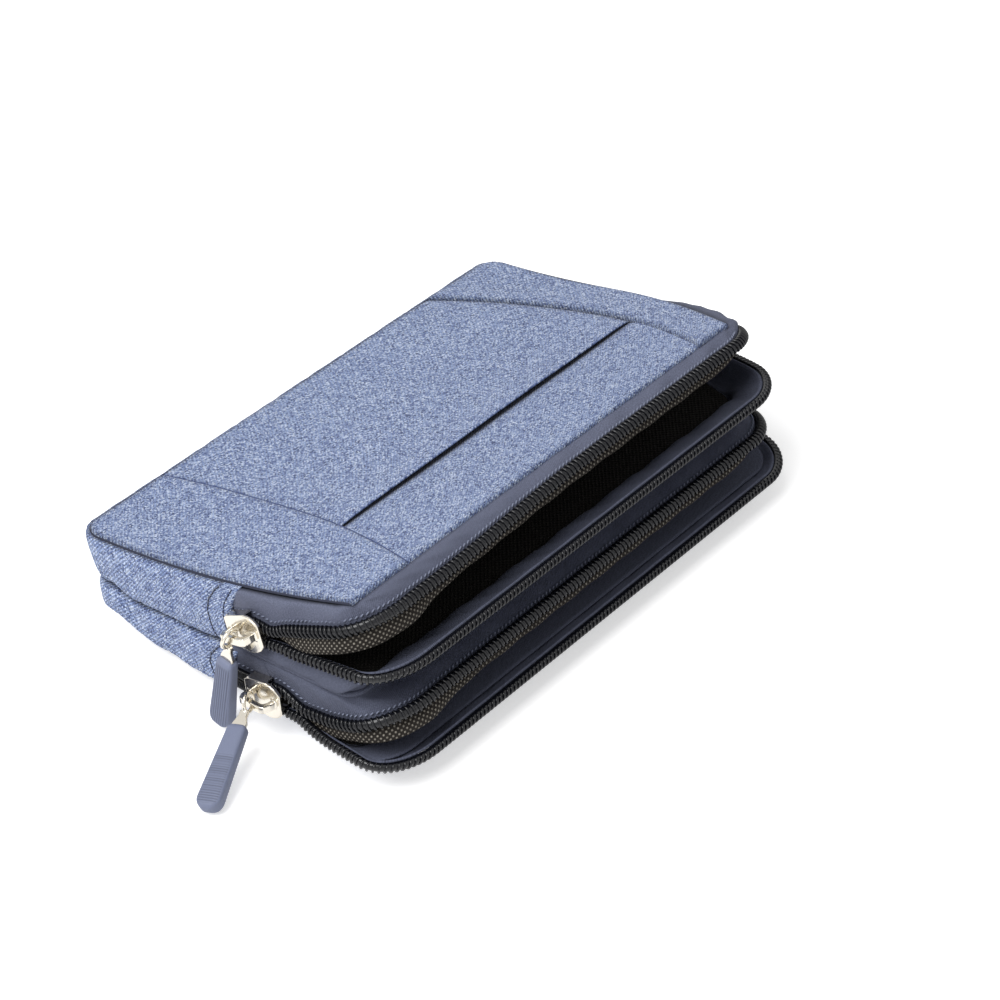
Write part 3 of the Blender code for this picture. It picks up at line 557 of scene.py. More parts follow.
def buckled(name, grid, room):
    """The grid after a short cloth simulation: cut a little too large and pinned at its seams,
    it buckles between them. No point moves further than the room given for its column.

    It is simulated ten times as large as life, which keeps the solver steady."""
    rows, columns = grid.shape[:2]
    enlarged, last_frame = 10 * MM, 14
    mesh = bpy.data.meshes.new(name)
    mesh.from_pydata((grid.reshape(-1, 3) * enlarged).tolist(), [],
                     quads_of(rows, columns).tolist())
    piece = placed(name, mesh)
    sewn = np.zeros((rows, columns), bool)
    sewn[[0, -1]] = sewn[:, [0, -1]] = True
    piece.vertex_groups.new(name="sewn").add(np.flatnonzero(sewn).tolist(), 1.0, "REPLACE")
    cloth = piece.modifiers.new("cloth", "CLOTH")
    cloth.settings.quality = 6
    cloth.settings.vertex_group_mass = "sewn"
    cloth.settings.shrink_min = -0.035
    cloth.settings.bending_stiffness = 1.5
    cloth.settings.use_pressure = True
    cloth.settings.uniform_pressure_force = 1.0
    cloth.settings.effector_weights.gravity = 0.0
    cloth.point_cache.frame_start, cloth.point_cache.frame_end = 1, last_frame
    for moment in range(1, last_frame + 1):
        bpy.context.scene.frame_set(moment)
    settled = piece.evaluated_get(bpy.context.evaluated_depsgraph_get())
    points = np.empty(3 * rows * columns, np.float32)
    settled.data.vertices.foreach_get("co", points)
    bpy.context.scene.frame_set(1)
    bpy.data.objects.remove(piece)
    moved = points.reshape(grid.shape) / enlarged - grid
    length = np.maximum(np.linalg.norm(moved, axis=-1, keepdims=True), 1e-9)
    return grid + moved * np.minimum(1.0, room[None, :, None] / length)


# Materials

def colour(text):
    """A hex sRGB colour as linear RGBA."""
    values = np.array([int(text[place:place + 2], 16) for place in (1, 3, 5)]) / 255.0
    linear = np.where(values <= 0.04045, values / 12.92, ((values + 0.055) / 1.055) ** 2.4)
    return (*linear.tolist(), 1.0)


def add(tree, kind, inputs=None, **settings):
    """Adds a node. inputs maps sockets to values, or to the outputs that feed them."""
    node = tree.nodes.new(kind)
    for key, value in settings.items():
        setattr(node, key, value)
    for socket, value in (inputs or {}).items():
        if isinstance(value, bpy.types.NodeSocket):
            tree.links.new(value, node.inputs[socket])
        else:
            node.inputs[socket].default_value = value
    return node


def math_of(tree, operation, first, second=0.0, third=0.0):
    inputs = {0: first, 1: second, 2: third}
    return add(tree, "ShaderNodeMath", inputs, operation=operation).outputs[0]


def noise_of(tree, place, scale, detail=2.0, dimensions="2D"):
    inputs = {0: place, "Scale": scale, "Detail": detail}
    return add(tree, "ShaderNodeTexNoise", inputs, noise_dimensions=dimensions).outputs[0]


def scaled(tree, tint, tone):
    inputs = {0: tint, "Scale": tone}
    return add(tree, "ShaderNodeVectorMath", inputs, operation="SCALE").outputs[0]


def shade_of(tree):
    return add(tree, "ShaderNodeAttribute", attribute_name="shade").outputs["Fac"]


def shaded(tree, tone):
    """Darkens a tone by a piece's shade attribute, as painted shade in sewn grooves, beside
    seams and edges and in rib grooves. A negative shade is painted light and makes the tone
    paler.
    """
    factor = math_of(tree, "MULTIPLY_ADD", shade_of(tree), -0.85, 1.0)
    return math_of(tree, "MULTIPLY", tone, factor)


def cloth_axes(tree):
    """Distances on the cloth in millimetres: as one vector, and across and along apart."""
    uv = add(tree, "ShaderNodeUVMap", uv_map="cloth").outputs[0]
    return uv, add(tree, "ShaderNodeSeparateXYZ", {0: uv}).outputs


def crossed_waves(tree, axes, wave, pitch):
    """A wave across the cloth times the same wave along it."""
    turns = (math_of(tree, "MULTIPLY", axes[own], 2 * math.pi / pitch) for own in (0, 1))
    return math_of(tree, "MULTIPLY", *(math_of(tree, wave, turn) for turn in turns))


def new_material(name):
    made = bpy.data.materials.new(name)
    made.use_nodes = True
    return made, made.node_tree


def finish(made, tint, height, strength, depth, values):
    """Gives a material its colour, its relief, depth mm deep, and the values of sockets."""
    tree = made.node_tree
    shader = tree.nodes["Principled BSDF"]
    tree.links.new(tint, shader.inputs["Base Color"])
    bump = add(tree, "ShaderNodeBump",
               {"Strength": strength, "Distance": depth * MM, "Height": height})
    tree.links.new(bump.outputs[0], shader.inputs["Normal"])
    for socket, value in values.items():
        shader.inputs[socket].default_value = value
    return made


YARN_TONES = ((0.0, "#2C3A62"), (0.15, "#4F6090"), (0.42, "#7A8CB6"), (0.7, "#90A1C6"),
              (1.0, "#C8D3E8"))
TWILL_PITCH = 1.1


def melange_cloth(name, pitch, run, twill, gain=1.0):
    """Woven polyester melange: light and dark yarns cross over and under each other, and give
    the eye a matt blue full of short pale and dark dashes, with diagonal twill lines.

    The threads are 0.4 or 0.45 mm apart and the twill's lines 1.1 mm, coarser than the real
    0.3 and 0.8 mm, so that they show. A yarn keeps its tone for the length of a run."""
    made, tree = new_material(name)
    uv, axes = cloth_axes(tree)
    yarns, profiles, total = [], [], 0.0
    for own, other in ((0, 1), (1, 0)):
        place = math_of(tree, "DIVIDE", axes[own], pitch)
        index = math_of(tree, "FLOOR", place)
        shift = add(tree, "ShaderNodeTexWhiteNoise", {"W": index}, noise_dimensions="1D")
        length = math_of(tree, "MULTIPLY_ADD", axes[other], 1 / run, shift.outputs[0])
        step = math_of(tree, "FLOOR", length)
        both = add(tree, "ShaderNodeCombineXYZ", {0: index, 1: step, 2: 7.0 * own})
        yarns.append(add(tree, "ShaderNodeTexWhiteNoise", {0: both.outputs[0]}).outputs[0])
        fraction = math_of(tree, "FRACT", place)
        profiles.append(math_of(tree, "SINE", math_of(tree, "MULTIPLY", fraction, math.pi)))
        total = math_of(tree, "ADD", index, total)
    turn = math_of(tree, "FLOORED_MODULO", total, 2.0)
    over = math_of(tree, "LESS_THAN", turn, 0.5)
    yarn, height = (add(tree, "ShaderNodeMix", {0: over, 2: first, 3: second},
                        data_type="FLOAT").outputs[0] for first, second in (yarns, profiles))
    tones = add(tree, "ShaderNodeValToRGB", {0: yarn})
    elements = tones.color_ramp.elements
    elements[0].color, elements[1].color = (colour(YARN_TONES[end][1]) for end in (0, -1))
    for position, text in YARN_TONES[1:-1]:
        elements.new(position).color = colour(text)
    mottle = noise_of(tree, uv, 0.35, 4.0)
    tone = math_of(tree, "MULTIPLY_ADD", mottle, 0.12 * gain, 0.94 * gain)
    # Painted shade between the threads: each thread's tone falls towards its two sides with its
    # relief
    tone = math_of(tree, "MULTIPLY", tone, math_of(tree, "MULTIPLY_ADD", height, 0.35, 0.75))
    slant = math_of(tree, "SUBTRACT", axes[1], axes[0])
    slant = math_of(tree, "MULTIPLY_ADD", noise_of(tree, uv, 0.5), 0.5, slant)
    line = math_of(tree, "SINE", math_of(tree, "MULTIPLY", slant, 2 * math.pi / TWILL_PITCH))
    amount = math_of(tree, "MULTIPLY_ADD", shade_of(tree), 0.5, twill)
    tone = math_of(tree, "MULTIPLY", tone, math_of(tree, "MULTIPLY_ADD", line, amount, 1.0))
    height = math_of(tree, "MULTIPLY_ADD", line, 0.6, height)
    return finish(made, scaled(tree, tones.outputs[0], shaded(tree, tone)), height, 0.6, 0.2,
                  {"Roughness": 0.88, "Sheen Weight": 0.15, "Sheen Roughness": 0.5})


def plain_weave(name, text, pitch, relief):
    """Tightly woven polyester tape: fine ribs along and across it, which the eye takes for a
    matt, faintly mottled band. Their pitch is up to twice the real one."""
    made, tree = new_material(name)
    uv, axes = cloth_axes(tree)
    height = crossed_waves(tree, axes, "SINE", pitch)
    # Painted shade in the furrows between the ribs and painted light on their crests: the tone
    # follows the relief
    tone = math_of(tree, "MULTIPLY_ADD", height, relief, 0.5)
    tone = math_of(tree, "MULTIPLY_ADD", noise_of(tree, uv, 2.4, 4.0), 1.0, tone)
    tint = scaled(tree, colour(text)[:3], shaded(tree, tone))
    return finish(made, tint, height, 0.5, 0.1, {"Roughness": 0.85, "Specular IOR Level": 0.25})


def mesh_knit(name, dark, pale, pitch=1.4):
    """Warp-knitted polyester mesh: the eye sees pale knots in a diamond pattern over a dark,
    matt ground.

    The knots are 1.4 mm apart, about twice the real spacing, so that they show."""
    made, tree = new_material(name)
    uv, axes = cloth_axes(tree)
    height = crossed_waves(tree, axes, "COSINE", pitch)
    knot = add(tree, "ShaderNodeMapRange", {0: height, 1: 0.2, 2: 0.85}).outputs[0]
    knot = math_of(tree, "MULTIPLY", knot, noise_of(tree, uv, 1.3, 3.0))
    tint = add(tree, "ShaderNodeMix", {0: knot, 6: colour(dark), 7: colour(pale)},
               data_type="RGBA").outputs[2]
    return finish(made, tint, height, 0.7, 0.25, {"Roughness": 0.9, "Specular IOR Level": 0.2})


def simple_material(name, text, roughness, metallic=0.0, grain_scale=2000.0, amount=0.15,
                    depth=0.02, shine=0.5):
    """A moulded, drawn or cast surface: one even tone, its light softly broken by a fine
    grain. grain_scale counts grains per metre, and depth is in millimetres."""
    made, tree = new_material(name)
    place = add(tree, "ShaderNodeTexCoord").outputs["Object"]
    grain = noise_of(tree, place, grain_scale, 3.0, "3D")
    tone = math_of(tree, "MULTIPLY_ADD", grain, amount, 1.0 - amount / 2)
    tint = scaled(tree, colour(text)[:3], shaded(tree, tone))
    return finish(made, tint, grain, 0.4, depth, {
        "Roughness": roughness, "Metallic": metallic, "Specular IOR Level": shine})


COVER_CLOTH = melange_cloth("melange_cover_cloth", pitch=0.45, run=0.7, twill=0.1)
WALL_CLOTH = melange_cloth("melange_wall_cloth", pitch=0.4, run=0.8, twill=0.3, gain=0.97)
TAPE_CLOTH = plain_weave("woven_zip_tape", "#545869", pitch=0.5, relief=0.2)
# The lining inside: a dark mesh, painted darker still than the edge strips' mesh, as painted
# shade for the inside of the pouch
LINING_IN_PAINTED_SHADE = mesh_knit("mesh_lining", "#161412", "#3B3834")
EDGE_KNIT = mesh_knit("mesh_lining_edge", "#25211E", "#B4AEA2")
WEBBING = plain_weave("belt_webbing", "#30364A", pitch=1.3, relief=0.3)
FOAM = simple_material("open_cell_foam", "#4A4A4C", 0.95)
NYLON = simple_material("coil_monofilament", "#0B0C12", 0.22, shine=0.4)
THREAD = simple_material("navy_sewing_thread", "#141A30", 0.7)
BLUE_THREAD = simple_material("blue_sewing_thread", "#3F4C76", 0.75)
PALE_THREAD = simple_material("slate_sewing_thread", "#777D92", 0.7)
NICKEL = simple_material("nickel_plated_zinc", "#DAD4C8", 0.16, metallic=1.0, amount=0.06,
                         grain_scale=900.0, depth=0.05)
GRIP_RUBBER = simple_material("moulded_grip_rubber", "#6F768E", 0.6)


# Cloth panels

COVER_THICKNESS = 0.85
WALL_THICKNESS = 0.8
# Painted shade: how far the painted shade of a sewn edge reaches into the cloth beside it
PAINTED_SHADE_REACH = 2.4  # how far a sewn edge darkens the cloth beside it
CHANNELS = ((-33.3, -23.0), (27.0, 37.3))  # the back's, where the belt loops are sewn down


def rolled_sheet(name, sides, ends, top, thickness, edges, material, node, slot="blue_weave",
                 rows=110, columns=150, under=None, stain=None):
    """A sheet over a plan area whose edges fall off like a quarter ellipse.

    sides are the near and far edge's x as functions of y, and ends the y of the mouth's edge
    and of the closed one. edges gives radius, drop and painted shade for these four in turn.
    under lifts the lower face and the last argument paints shade on the cloth, both as functions
    of x and y."""
    y = ramp(*ends, rows)[:, None]
    share = ramp(0.0, 1.0, columns)[None, :]
    first, last = (side(y) for side in sides)
    x = mix(first, last, share)
    y = np.broadcast_to(y, x.shape)
    gaps = (x - first, last - x, y - ends[0], ends[1] - y)
    keep, drop, shade = np.ones_like(x), np.zeros_like(x), np.zeros_like(x)
    for gap, (radius, depth, dark) in zip(gaps, edges):
        curve = np.sqrt(1.0 - (1.0 - np.clip(gap / radius, 0.0, 1.0)) ** 2)
        keep = np.minimum(keep, curve)
        drop = np.maximum(drop, depth * (1.0 - curve))
        # painted shade beside each edge, fading with the distance from it
        shade = np.maximum(shade, dark * np.clip(1.0 - gap / PAINTED_SHADE_REACH, 0.0, 1.0) ** 2)
    if stain is not None:
        shade = np.maximum(shade, stain(x, y))
    high = np.stack([x, y, top(x, y) - drop], -1)
    lift = 0.0 if under is None else under(x, y)
    low = high - (thickness * keep + 0.02 - lift)[..., None] * UP
    return add_shell(name, high, low, material, slot, shade=shade, node=node)


def even_sheet(name, outline, top, thickness, edge, material, node, slot, **settings):
    """A sheet over a whole outline, with the same edge all round."""
    return rolled_sheet(name, (outline.left, outline.right), (outline.mouth, outline.closed),
                        top, thickness, (edge,) * 4, material, node, slot, **settings)


def foam(name, outline, top, thickness, edge, node):
    """A sheet of foam that fills out between a cloth and its lining."""
    even_sheet(name, outline, top, thickness, edge, FOAM, node, "foam", rows=60,
                         columns=60)


def fold(gap, height, peak):
    """A soft fold beside a seam: it rises to its height at the peak's distance and fades."""
    place = np.maximum(gap, 0.0) / peak
    return height * place * np.exp(1.0 - place)


def swell(x, y):
    """The slight unevenness of sewn cloth over foam."""
    return 0.1 * (np.sin(0.11 * x + 0.07 * y + 1.0) + np.sin(0.06 * x - 0.13 * y + 2.2))


def front_cover():
    """The front cover: base cloth, laid-on panels, card pocket, foam and lining."""
    # The third number of each edge is its painted shade: in the seam's groove, at the mouth and
    # in the shadow beside the far panel's fold
    outer, mouth, plain = (1.0, SEAM_DROP, 0.75), (1.2, 1.5, 0.45), (1.0, 1.0, 0.0)
    edge = FRONT.trimmed(SEAM_IN - 0.05)
    length = (edge.mouth, edge.closed)
    slot_near, slot_far = near_seam(SLOT_Y), far_seam(SLOT_Y)

    def near_top(x, y):
        return front_top(y) + fold(near_seam(y) - x, 0.12, 1.5) + swell(x, y)

    def far_top(x, y):
        return front_top(y) + fold(x - far_seam(y), 0.5, 2.2) + swell(x, y)

    def pocket_top(x, y):
        middle = np.sin(math.pi * np.clip((x - slot_near) / (slot_far - slot_near), 0, 1)) ** 0.5
        lift = 0.95 * middle * smooth(1.0 - (y - SLOT_Y) / 13.0)
        sunk = 0.5 * np.exp((x - far_seam(y)) / 2.0) + 0.12 * np.exp((near_seam(y) - x) / 1.2)
        return front_top(y) + lift - sunk + swell(x, y)

    def base_top(x, y):
        return front_top(y) - mix(0.35, 1.5, smooth((y - SLOT_Y + 4.0) / 6.0)) + swell(x, y)

    # Painted shadow on the base cloth, from the card pocket's opening inwards under the pocket
    def slot_shadow(x, y):
        return 0.95 * smooth((y - SLOT_Y + 1.4) / 1.6)

    rolled_sheet("near_cover_cloth", (edge.left, near_seam), length, near_top,
                 COVER_THICKNESS, (outer, (0.6, 0.4, 0.35), mouth, outer), COVER_CLOTH,
                 "near_overlay", columns=60)
    rolled_sheet("far_cover_cloth", (far_seam, edge.right), length, far_top,
                 COVER_THICKNESS, ((0.8, 0.9, 0.8), outer, mouth, outer), COVER_CLOTH,
                 "far_overlay", columns=60)
    rolled_sheet("card_pocket_cloth",
                 (lambda y: near_seam(y) + 0.05, lambda y: far_seam(y) - 0.05),
                 (SLOT_Y, edge.closed), pocket_top, 0.8,
                 ((0.5, 0.3, 0.3), (0.8, 0.4, 0.85), (0.5, 0.3, 0.0), outer), COVER_CLOTH,
                 "card_pocket_panel")
    inner = FRONT.drawn_in(2.3)
    rolled_sheet("cover_base_cloth", (lambda y: np.maximum(near_seam(y) - 6.0, inner.left(y)),
                                      lambda y: np.minimum(far_seam(y) + 6.0, inner.right(y))),
                 (edge.mouth, 43.6), base_top, 0.9, (plain, plain, mouth, plain), COVER_CLOTH,
                 "front_panel", stain=slot_shadow)
    foam("front_foam", FRONT.drawn_in(2.8), lambda x, y: front_rim(y) - 0.3, 1.6,
         (0.8, 0.8, 0.0), "front_padding")
    even_sheet("front_lining_cloth", FRONT.drawn_in(1.6), lambda x, y: front_rim(y) - 2.2, 0.6,
               (0.5, 0.3, 0.0), LINING_IN_PAINTED_SHADE, "front_lining", "lining", rows=60, columns=80)


def divider_and_back():
    """The wall between the compartments, and the back with its foam and lining."""
    edge = MIDDLE.trimmed(0.9)
    rolled_sheet("divider_cloth", (edge.left, edge.right), (-45.4, edge.closed),
                 lambda x, y: divider_top(y), 2.1, ((1.0, 1.0, 0.0),) * 4, LINING_IN_PAINTED_SHADE,
                 "divider_panel", slot="lining")

    def channels(x, y):
        return 0.3 * sum(smooth((y - low + 0.5) / 1.2) * smooth((high + 0.5 - y) / 1.2)
                         for low, high in CHANNELS)

    # Painted shade along the sewn edges of the belt channels
    def channel_seam_shade(x, y):
        away = np.abs(y[..., None] - np.ravel(CHANNELS)).min(axis=-1)
        return 0.6 * np.clip(1.0 - away / 0.8, 0.0, 1.0)

    even_sheet("back_cloth", BACK, lambda x, y: back_top(y), 1.0, (0.8, 0.5, 0.5), WALL_CLOTH,
               "back_panel", "blue_weave", under=channels, stain=channel_seam_shade, rows=220)
    foam("back_foam", BACK.drawn_in(2.8), lambda x, y: 2.5 + 0.0 * y, 1.2, (0.8, 0.6, 0.0),
         "back_padding")
    even_sheet("rear_lining_cloth", BACK.drawn_in(0.9), lambda x, y: 3.4 + 0.0 * y, 0.6,
               (2.4, 1.9, 0.0), LINING_IN_PAINTED_SHADE, "rear_lining", "lining", rows=80, columns=110)


def top_seam(y):
    return front_top(y) - SEAM_DROP


def crease_sag(y):
    """How far the crease between the walls hangs below the divider's rim at the two ends."""
    return 2.0 * smooth((33.0 - y) / 8.0) * smooth((y + 16.0) / 20.0)


def crease_above(y):
    return divider_middle(y) + 0.25 - crease_sag(y)


def crease_below(y):
    return divider_middle(y) - 0.25 - crease_sag(y)


def back_seam(y):
    """The lower wall's seam, which hangs at the two ends but not along the closed side."""
    return 0.15 - 3.0 * smooth((36.0 - y) / 20.0) * smooth((y + 12.0) / 14.0)


@dataclass
class Wall:
    """A fabric wall: the outline and height of its two seams, and its bulge between them."""

    upper: Outline
    upper_height: object
    lower: Outline
    lower_height: object
    bulge: float
    power: float

    def stand(self, share):
        """How far it stands out between its two seams: fast at the seams, then level."""
        rise = (1.0 - np.abs(2.0 * share - 1.0) ** self.power) ** (1 / 2.2)
        return (SEAM_IN + self.bulge) * rise


FRONT_WALL = Wall(FRONT.trimmed(SEAM_IN), top_seam, MIDDLE.trimmed(SEAM_IN), crease_above,
                  bulge=0.6, power=3.5)
REAR_WALL = Wall(MIDDLE.trimmed(SEAM_IN), crease_below, BACK.trimmed(SEAM_IN), back_seam,
                 bulge=0.9, power=4.5)


def gusset(name, wall, crest, node):
    """The fabric wall between two seams round the closed side, buckled by simulation.

    A ridge stands up just under its top seam, highest along the closed side. Beside that seam
    a point may move by 0.08 mm when the cloth buckles, and from a third down by 0.45 mm."""
    high = closed_line(wall.upper, wall.upper_height)
    low = closed_line(wall.lower, wall.lower_height)
    run = unit(np.gradient(high, axis=0))
    outward = unit(np.cross(unit(high - low), run))
    share = eased(23)
    place = length_along(high)
    wrinkle = 1.0 + 0.09 * np.sin(0.2 * place + 0.7) + 0.06 * np.sin(0.47 * place + 2.0)
    stand = wall.stand(share)[None, :] * wrinkle[:, None]
    outer = between(high, low, share) + outward[:, None] * stand[..., None]
    closed = smooth(np.abs(run[:, 0]) * 1.5)[:, None]
    ridge = fold(share, 1.0, 0.09)[None, :] * crest * (0.35 + 0.65 * closed)
    outer = outer + ridge[..., None] * UP + (ridge * closed)[..., None] * np.array([0, 0.5, 0])
    outer = buckled(name, outer, 0.08 + 0.37 * smooth(3.0 * share))
    thick = WALL_THICKNESS * np.sin(math.pi * share) ** 0.3 + 0.02
    inner = outer - outward[:, None] * thick[None, :, None]
    # Painted shade beside both seams, and the cloth darker in a strip along the closed side just
    # under the top seam
    distance = np.minimum(share, 1.0 - share) * np.linalg.norm(high - low, axis=-1)[:, None]
    shade = 0.75 * np.clip(1.0 - distance / 0.9, 0.0, 1.0) ** 1.5
    shade = np.maximum(shade, 0.3 * closed * (share < 0.16))
    add_shell(name, outer, inner, WALL_CLOTH, "blue_weave", shade=shade, node=node,
              inner=(LINING_IN_PAINTED_SHADE, inner_faces(len(outer), len(share), 6)))


def cover_groove():
    """The threads that show in the groove round the cover and along its near seam. Their dark
    cords are partly the seams' thread and partly painted shade for those grooves.
    """
    mouth_y, closed_y = -43.4, 44.4
    line = closed_line(FRONT.trimmed(SEAM_IN + 0.1), lambda y: front_top(y) - 0.75,
                       start_y=mouth_y, rows=130)
    add_piece("cover_seam_thread", *cord_of(line, 0.35, 6), THREAD, "zip_tape")
    y = np.linspace(mouth_y, closed_y, 130)
    line = np.stack([near_seam(y), y, front_top(y) + swell(near_seam(y), y) - 0.1], -1)
    add_piece("near_seam_thread", *cord_of(line, 0.13, 6), BLUE_THREAD, "zip_tape")


# The end tabs' two edges and inner row of stitches: their y at shares of the wall's height
TAB_PLACES = (0.0, 0.05, 0.16, 0.35, 0.53, 0.72, 0.9, 1.0)
TAB_BACK = (-4.6, -3.3, -1.8, -0.7, 0.0, -0.6, -2.6, -4.6)
TAB_STITCH = (-7.4, -7.2, -7.0, -6.6, -5.9, -6.4, -8.0, -8.9)
TAB_FRONT = (-8.6, -8.6, -8.5, -8.3, -8.1, -8.6, -9.9, -10.7)


def end_tab(name, wall, end, node):
    """A cloth tab over the end of a zip: it follows the wall's bulge and stands a little
    proud, with two rows of stitches."""

    def on_wall(share, y, proud):
        high, low = wall.upper_height(y) + 0.1, wall.lower_height(y) - 0.1
        edge = mix(wall.lower.side(end, y), wall.upper.side(end, y), share)
        x = edge + end * (wall.stand(1.0 - share) + proud)
        return np.stack([x, y, mix(low, high, share)], -1)

    share = eased(40)[:, None]
    across = ramp(0.0, 1.0, 24)[None, :]
    back = np.interp(share, TAB_PLACES, TAB_BACK)
    front = np.interp(share, TAB_PLACES, TAB_FRONT)
    y = mix(back, front, across)
    share = np.broadcast_to(share, y.shape)
    rounding = np.minimum(np.sin(math.pi * across) * 4.0, 1.0) ** 0.5
    # Painted shade along the tab's back edge
    shade = 0.8 * np.clip(1.0 - across * 6.0, 0.0, 1.0)
    add_shell(name, on_wall(share, y, 0.05 + 0.5 * rounding), on_wall(share, y, -0.4),
              WALL_CLOTH, "blue_weave", shade=np.broadcast_to(shade, y.shape), node=node)
    place = np.linspace(0.04, 0.96, 60)
    rows = []
    for table, shift in ((TAB_BACK, -0.7), (TAB_STITCH, 0.0)):
        path = on_wall(place, np.interp(place, TAB_PLACES, table) + shift, 0.56)
        rows.append(stitches(path, np.array([float(end), 0.0, 0.0]), 1.4, 1.35, 0.2))
    add_piece(name + "_stitches", *joined(rows), THREAD, "zip_tape")


# Belt loops

def belt_loop(name, x, node):
    """A strap laid over the belt: level in the middle, with an eased step up to its two pads,
    each sewn down with a crossed box of stitches."""
    middle_y, half_width, along_x = 2.0, 12.5, np.array([1.0, 0.0, 0.0])
    strap_z, rise, stitch_z = -5.8, 5.15, -1.36
    y = middle_y + np.linspace(-35.0, 35.0, 141)
    z = strap_z + rise * smooth((np.abs(y - middle_y) - 21.0) / 6.5)
    line = np.stack([np.full_like(y, x), y, z], -1)
    across = np.sin(np.linspace(-math.pi / 2, math.pi / 2, 31)) * half_width
    half = 0.68 * np.sqrt(1.0 - np.abs(across / half_width) ** 6) + 0.01
    normal = np.cross(along_x, unit(np.gradient(line, axis=0)))
    middle = line[:, None] + across[None, :, None] * along_x
    offset = normal[:, None] * half[None, :, None]
    add_shell(name, middle + offset, middle - offset, WEBBING, "webbing", node=node)
    rows = []
    for pad in (middle_y - 31.0, middle_y + 31.0):
        low, high, near, far = pad - 2.8, pad + 2.8, x - 10.8, x + 10.8
        corners = ((near, low), (far, low), (far, high), (near, high), (near, low), (far, high))
        sides = list(zip(corners[:-1], corners[1:])) + [((near, high), (far, low))]
        for start, end in sides:
            path = np.linspace((*start, stitch_z), (*end, stitch_z), 12)
            rows.append(stitches(path, -UP, 2.0, 1.7, 0.2))
    add_piece(name + "_stitches", *joined(rows), PALE_THREAD, "webbing")


# Zips

# The rear lips' stretches behind and before their slider. Behind it, the coil's turns lie closer
# together from the first point's y to the second's
BEHIND_SLIDER = ((-SEAM_X, -8.9, 5.0), (-SEAM_X, -19.0, 5.0))
BEFORE_SLIDER = ((-60.0, -50.0, 5.0), (-80.0, -24.0, 5.0))

SLIDE_LENGTH = 20.0
TAPE_THICKNESS = 0.6
COIL_START_Y = -8.8  # under the end tabs' edges
COIL_OUT = 1.6  # from the tape's edge to the middle of the coil
COIL_PITCH = 1.38
COIL_WIDTH, COIL_DEPTH = (2.9, 3.4), (1.9, 2.4)  # closed, and on an open lip
WIRE_RADIUS = 0.34
STEPS_A_TURN = 14


def between(first, last, places):
    """Points of two matching lines mixed at the places across."""
    return mix(first[:, None], last[:, None], places[None, :, None])


def stretches(lip):
    """The parts that a lip is made in: label, lines and bend. The rear lips are in two parts,
    one on each side of their slider."""
    lines = lip.lines()
    if lip.slider is FRONT_SLIDER:
        return [("", lines, None)]
    cut = int(np.argmax(lines[1][:, 1] < lip.slider.centre[1]))
    return [("_behind", [line[:cut + 1] for line in lip.lines(spread=0.0)], BEHIND_SLIDER),
            ("", [line[cut:] for line in lines], BEFORE_SLIDER)]


def tape(name, lip):
    """A zip tape as a cubic curve from its seat on the wall to the coil's seam.

    It leaves the seat outwards, or up and down in the valley over the divider, and comes in
    along the seam's own direction. Soft folds swell its middle, and the cover's tape stands
    out in a lobe at the far end. The tape under the divider has a backing sewn to the
    divider, which stays behind when the slider draws the tape on."""
    for label, (seat, seam, run, across, outward), bend in stretches(lip):
        away = unit(np.cross(run, UP))
        turned = smooth(np.abs(run[:, 0]) * 1.2)[:, None] * lip.valley
        leave = mix(away, -lip.side * UP, turned)
        reach = np.linalg.norm(seat - seam, axis=-1)[:, None]
        share = np.linspace(0.0, 1.0, 17)[None, :, None]
        knots = (seat, seat + leave * 0.3 * reach, seam + across * 0.45 * reach,
                 seam - across * 0.3)
        weights = ((1 - share) ** 3, 3 * (1 - share) ** 2 * share,
                   3 * (1 - share) * share ** 2, share ** 3)
        middle = sum(weight * knot[:, None] for weight, knot in zip(weights, knots))
        place = length_along(seam)[:, None, None]
        waves = np.sin(0.33 * place + 3.0 * share) + 0.7 * np.sin(0.71 * place - 2.0 * share)
        calm = smooth((lip.settled + 2.0 - seam[:, 1]) / 10.0)[:, None, None]
        middle = middle + outward[:, None] * 0.26 * waves * calm * np.sin(math.pi * share)
        # Painted light: the cover's tape gets a negative shade, which makes it paler all over
        pale = 0.0
        if lip is LIPS["front_upper"]:
            pale = 0.45
            lobe = 3.4 * far_reach(seam[:, 0], seam[:, 1]) * smooth((-10.0 - seam[:, 1]) / 14.0)
            middle = middle + (away * lobe[:, None])[:, None] * np.sin(math.pi * share) ** 0.8
        half = outward[:, None] * (TAPE_THICKNESS / 2)
        # Painted shade where the tape leaves its seat on the wall, weaker in the valley over the
        # divider
        dark = 0.8 - 0.7 * lip.valley
        shade = (dark + pale) * np.clip(1.0 - 6.0 * share, 0.0, 1.0) - pale
        add_shell(name + "_tape_cloth" + label, middle + half, middle - half, TAPE_CLOTH,
                  "zip_tape", shade=np.broadcast_to(shade, (*middle.shape[:2], 1)), bend=bend,
                  node=name + "_tape")
        if bend is BEFORE_SLIDER and lip.side > 0:
            behind = middle[:, :12] - outward[:, None] * 0.8
            add_shell(name + "_tape_backing", behind + half * 0.6, behind - half * 0.6,
                      TAPE_CLOTH, "zip_tape", face=behind)


def hem(name, lip):
    """The back's hem, flat under the lower tape and widest past the slider. It stays where
    it is when the slider draws the tape along, and covers the place that the tape leaves."""
    seat, seam = lip.lines()[:2]
    start = lip.settled + 8.0
    shown = seam[:, 1] < start
    seat, seam = seat[shown], seam[shown]
    inward = unit((seat - seam) * np.array([1.0, 1.0, 0.0]))
    wide = 0.75 * smooth((start - seam[:, 1]) / 14.0)[:, None]
    middle = between(seat + inward * 8.0, mix(seat, seam, wide), ramp(0.0, 1.0, 9)) - 0.8 * UP
    add_shell(name, middle + 0.25 * UP, middle - 0.25 * UP, TAPE_CLOTH, "zip_tape", face=middle)


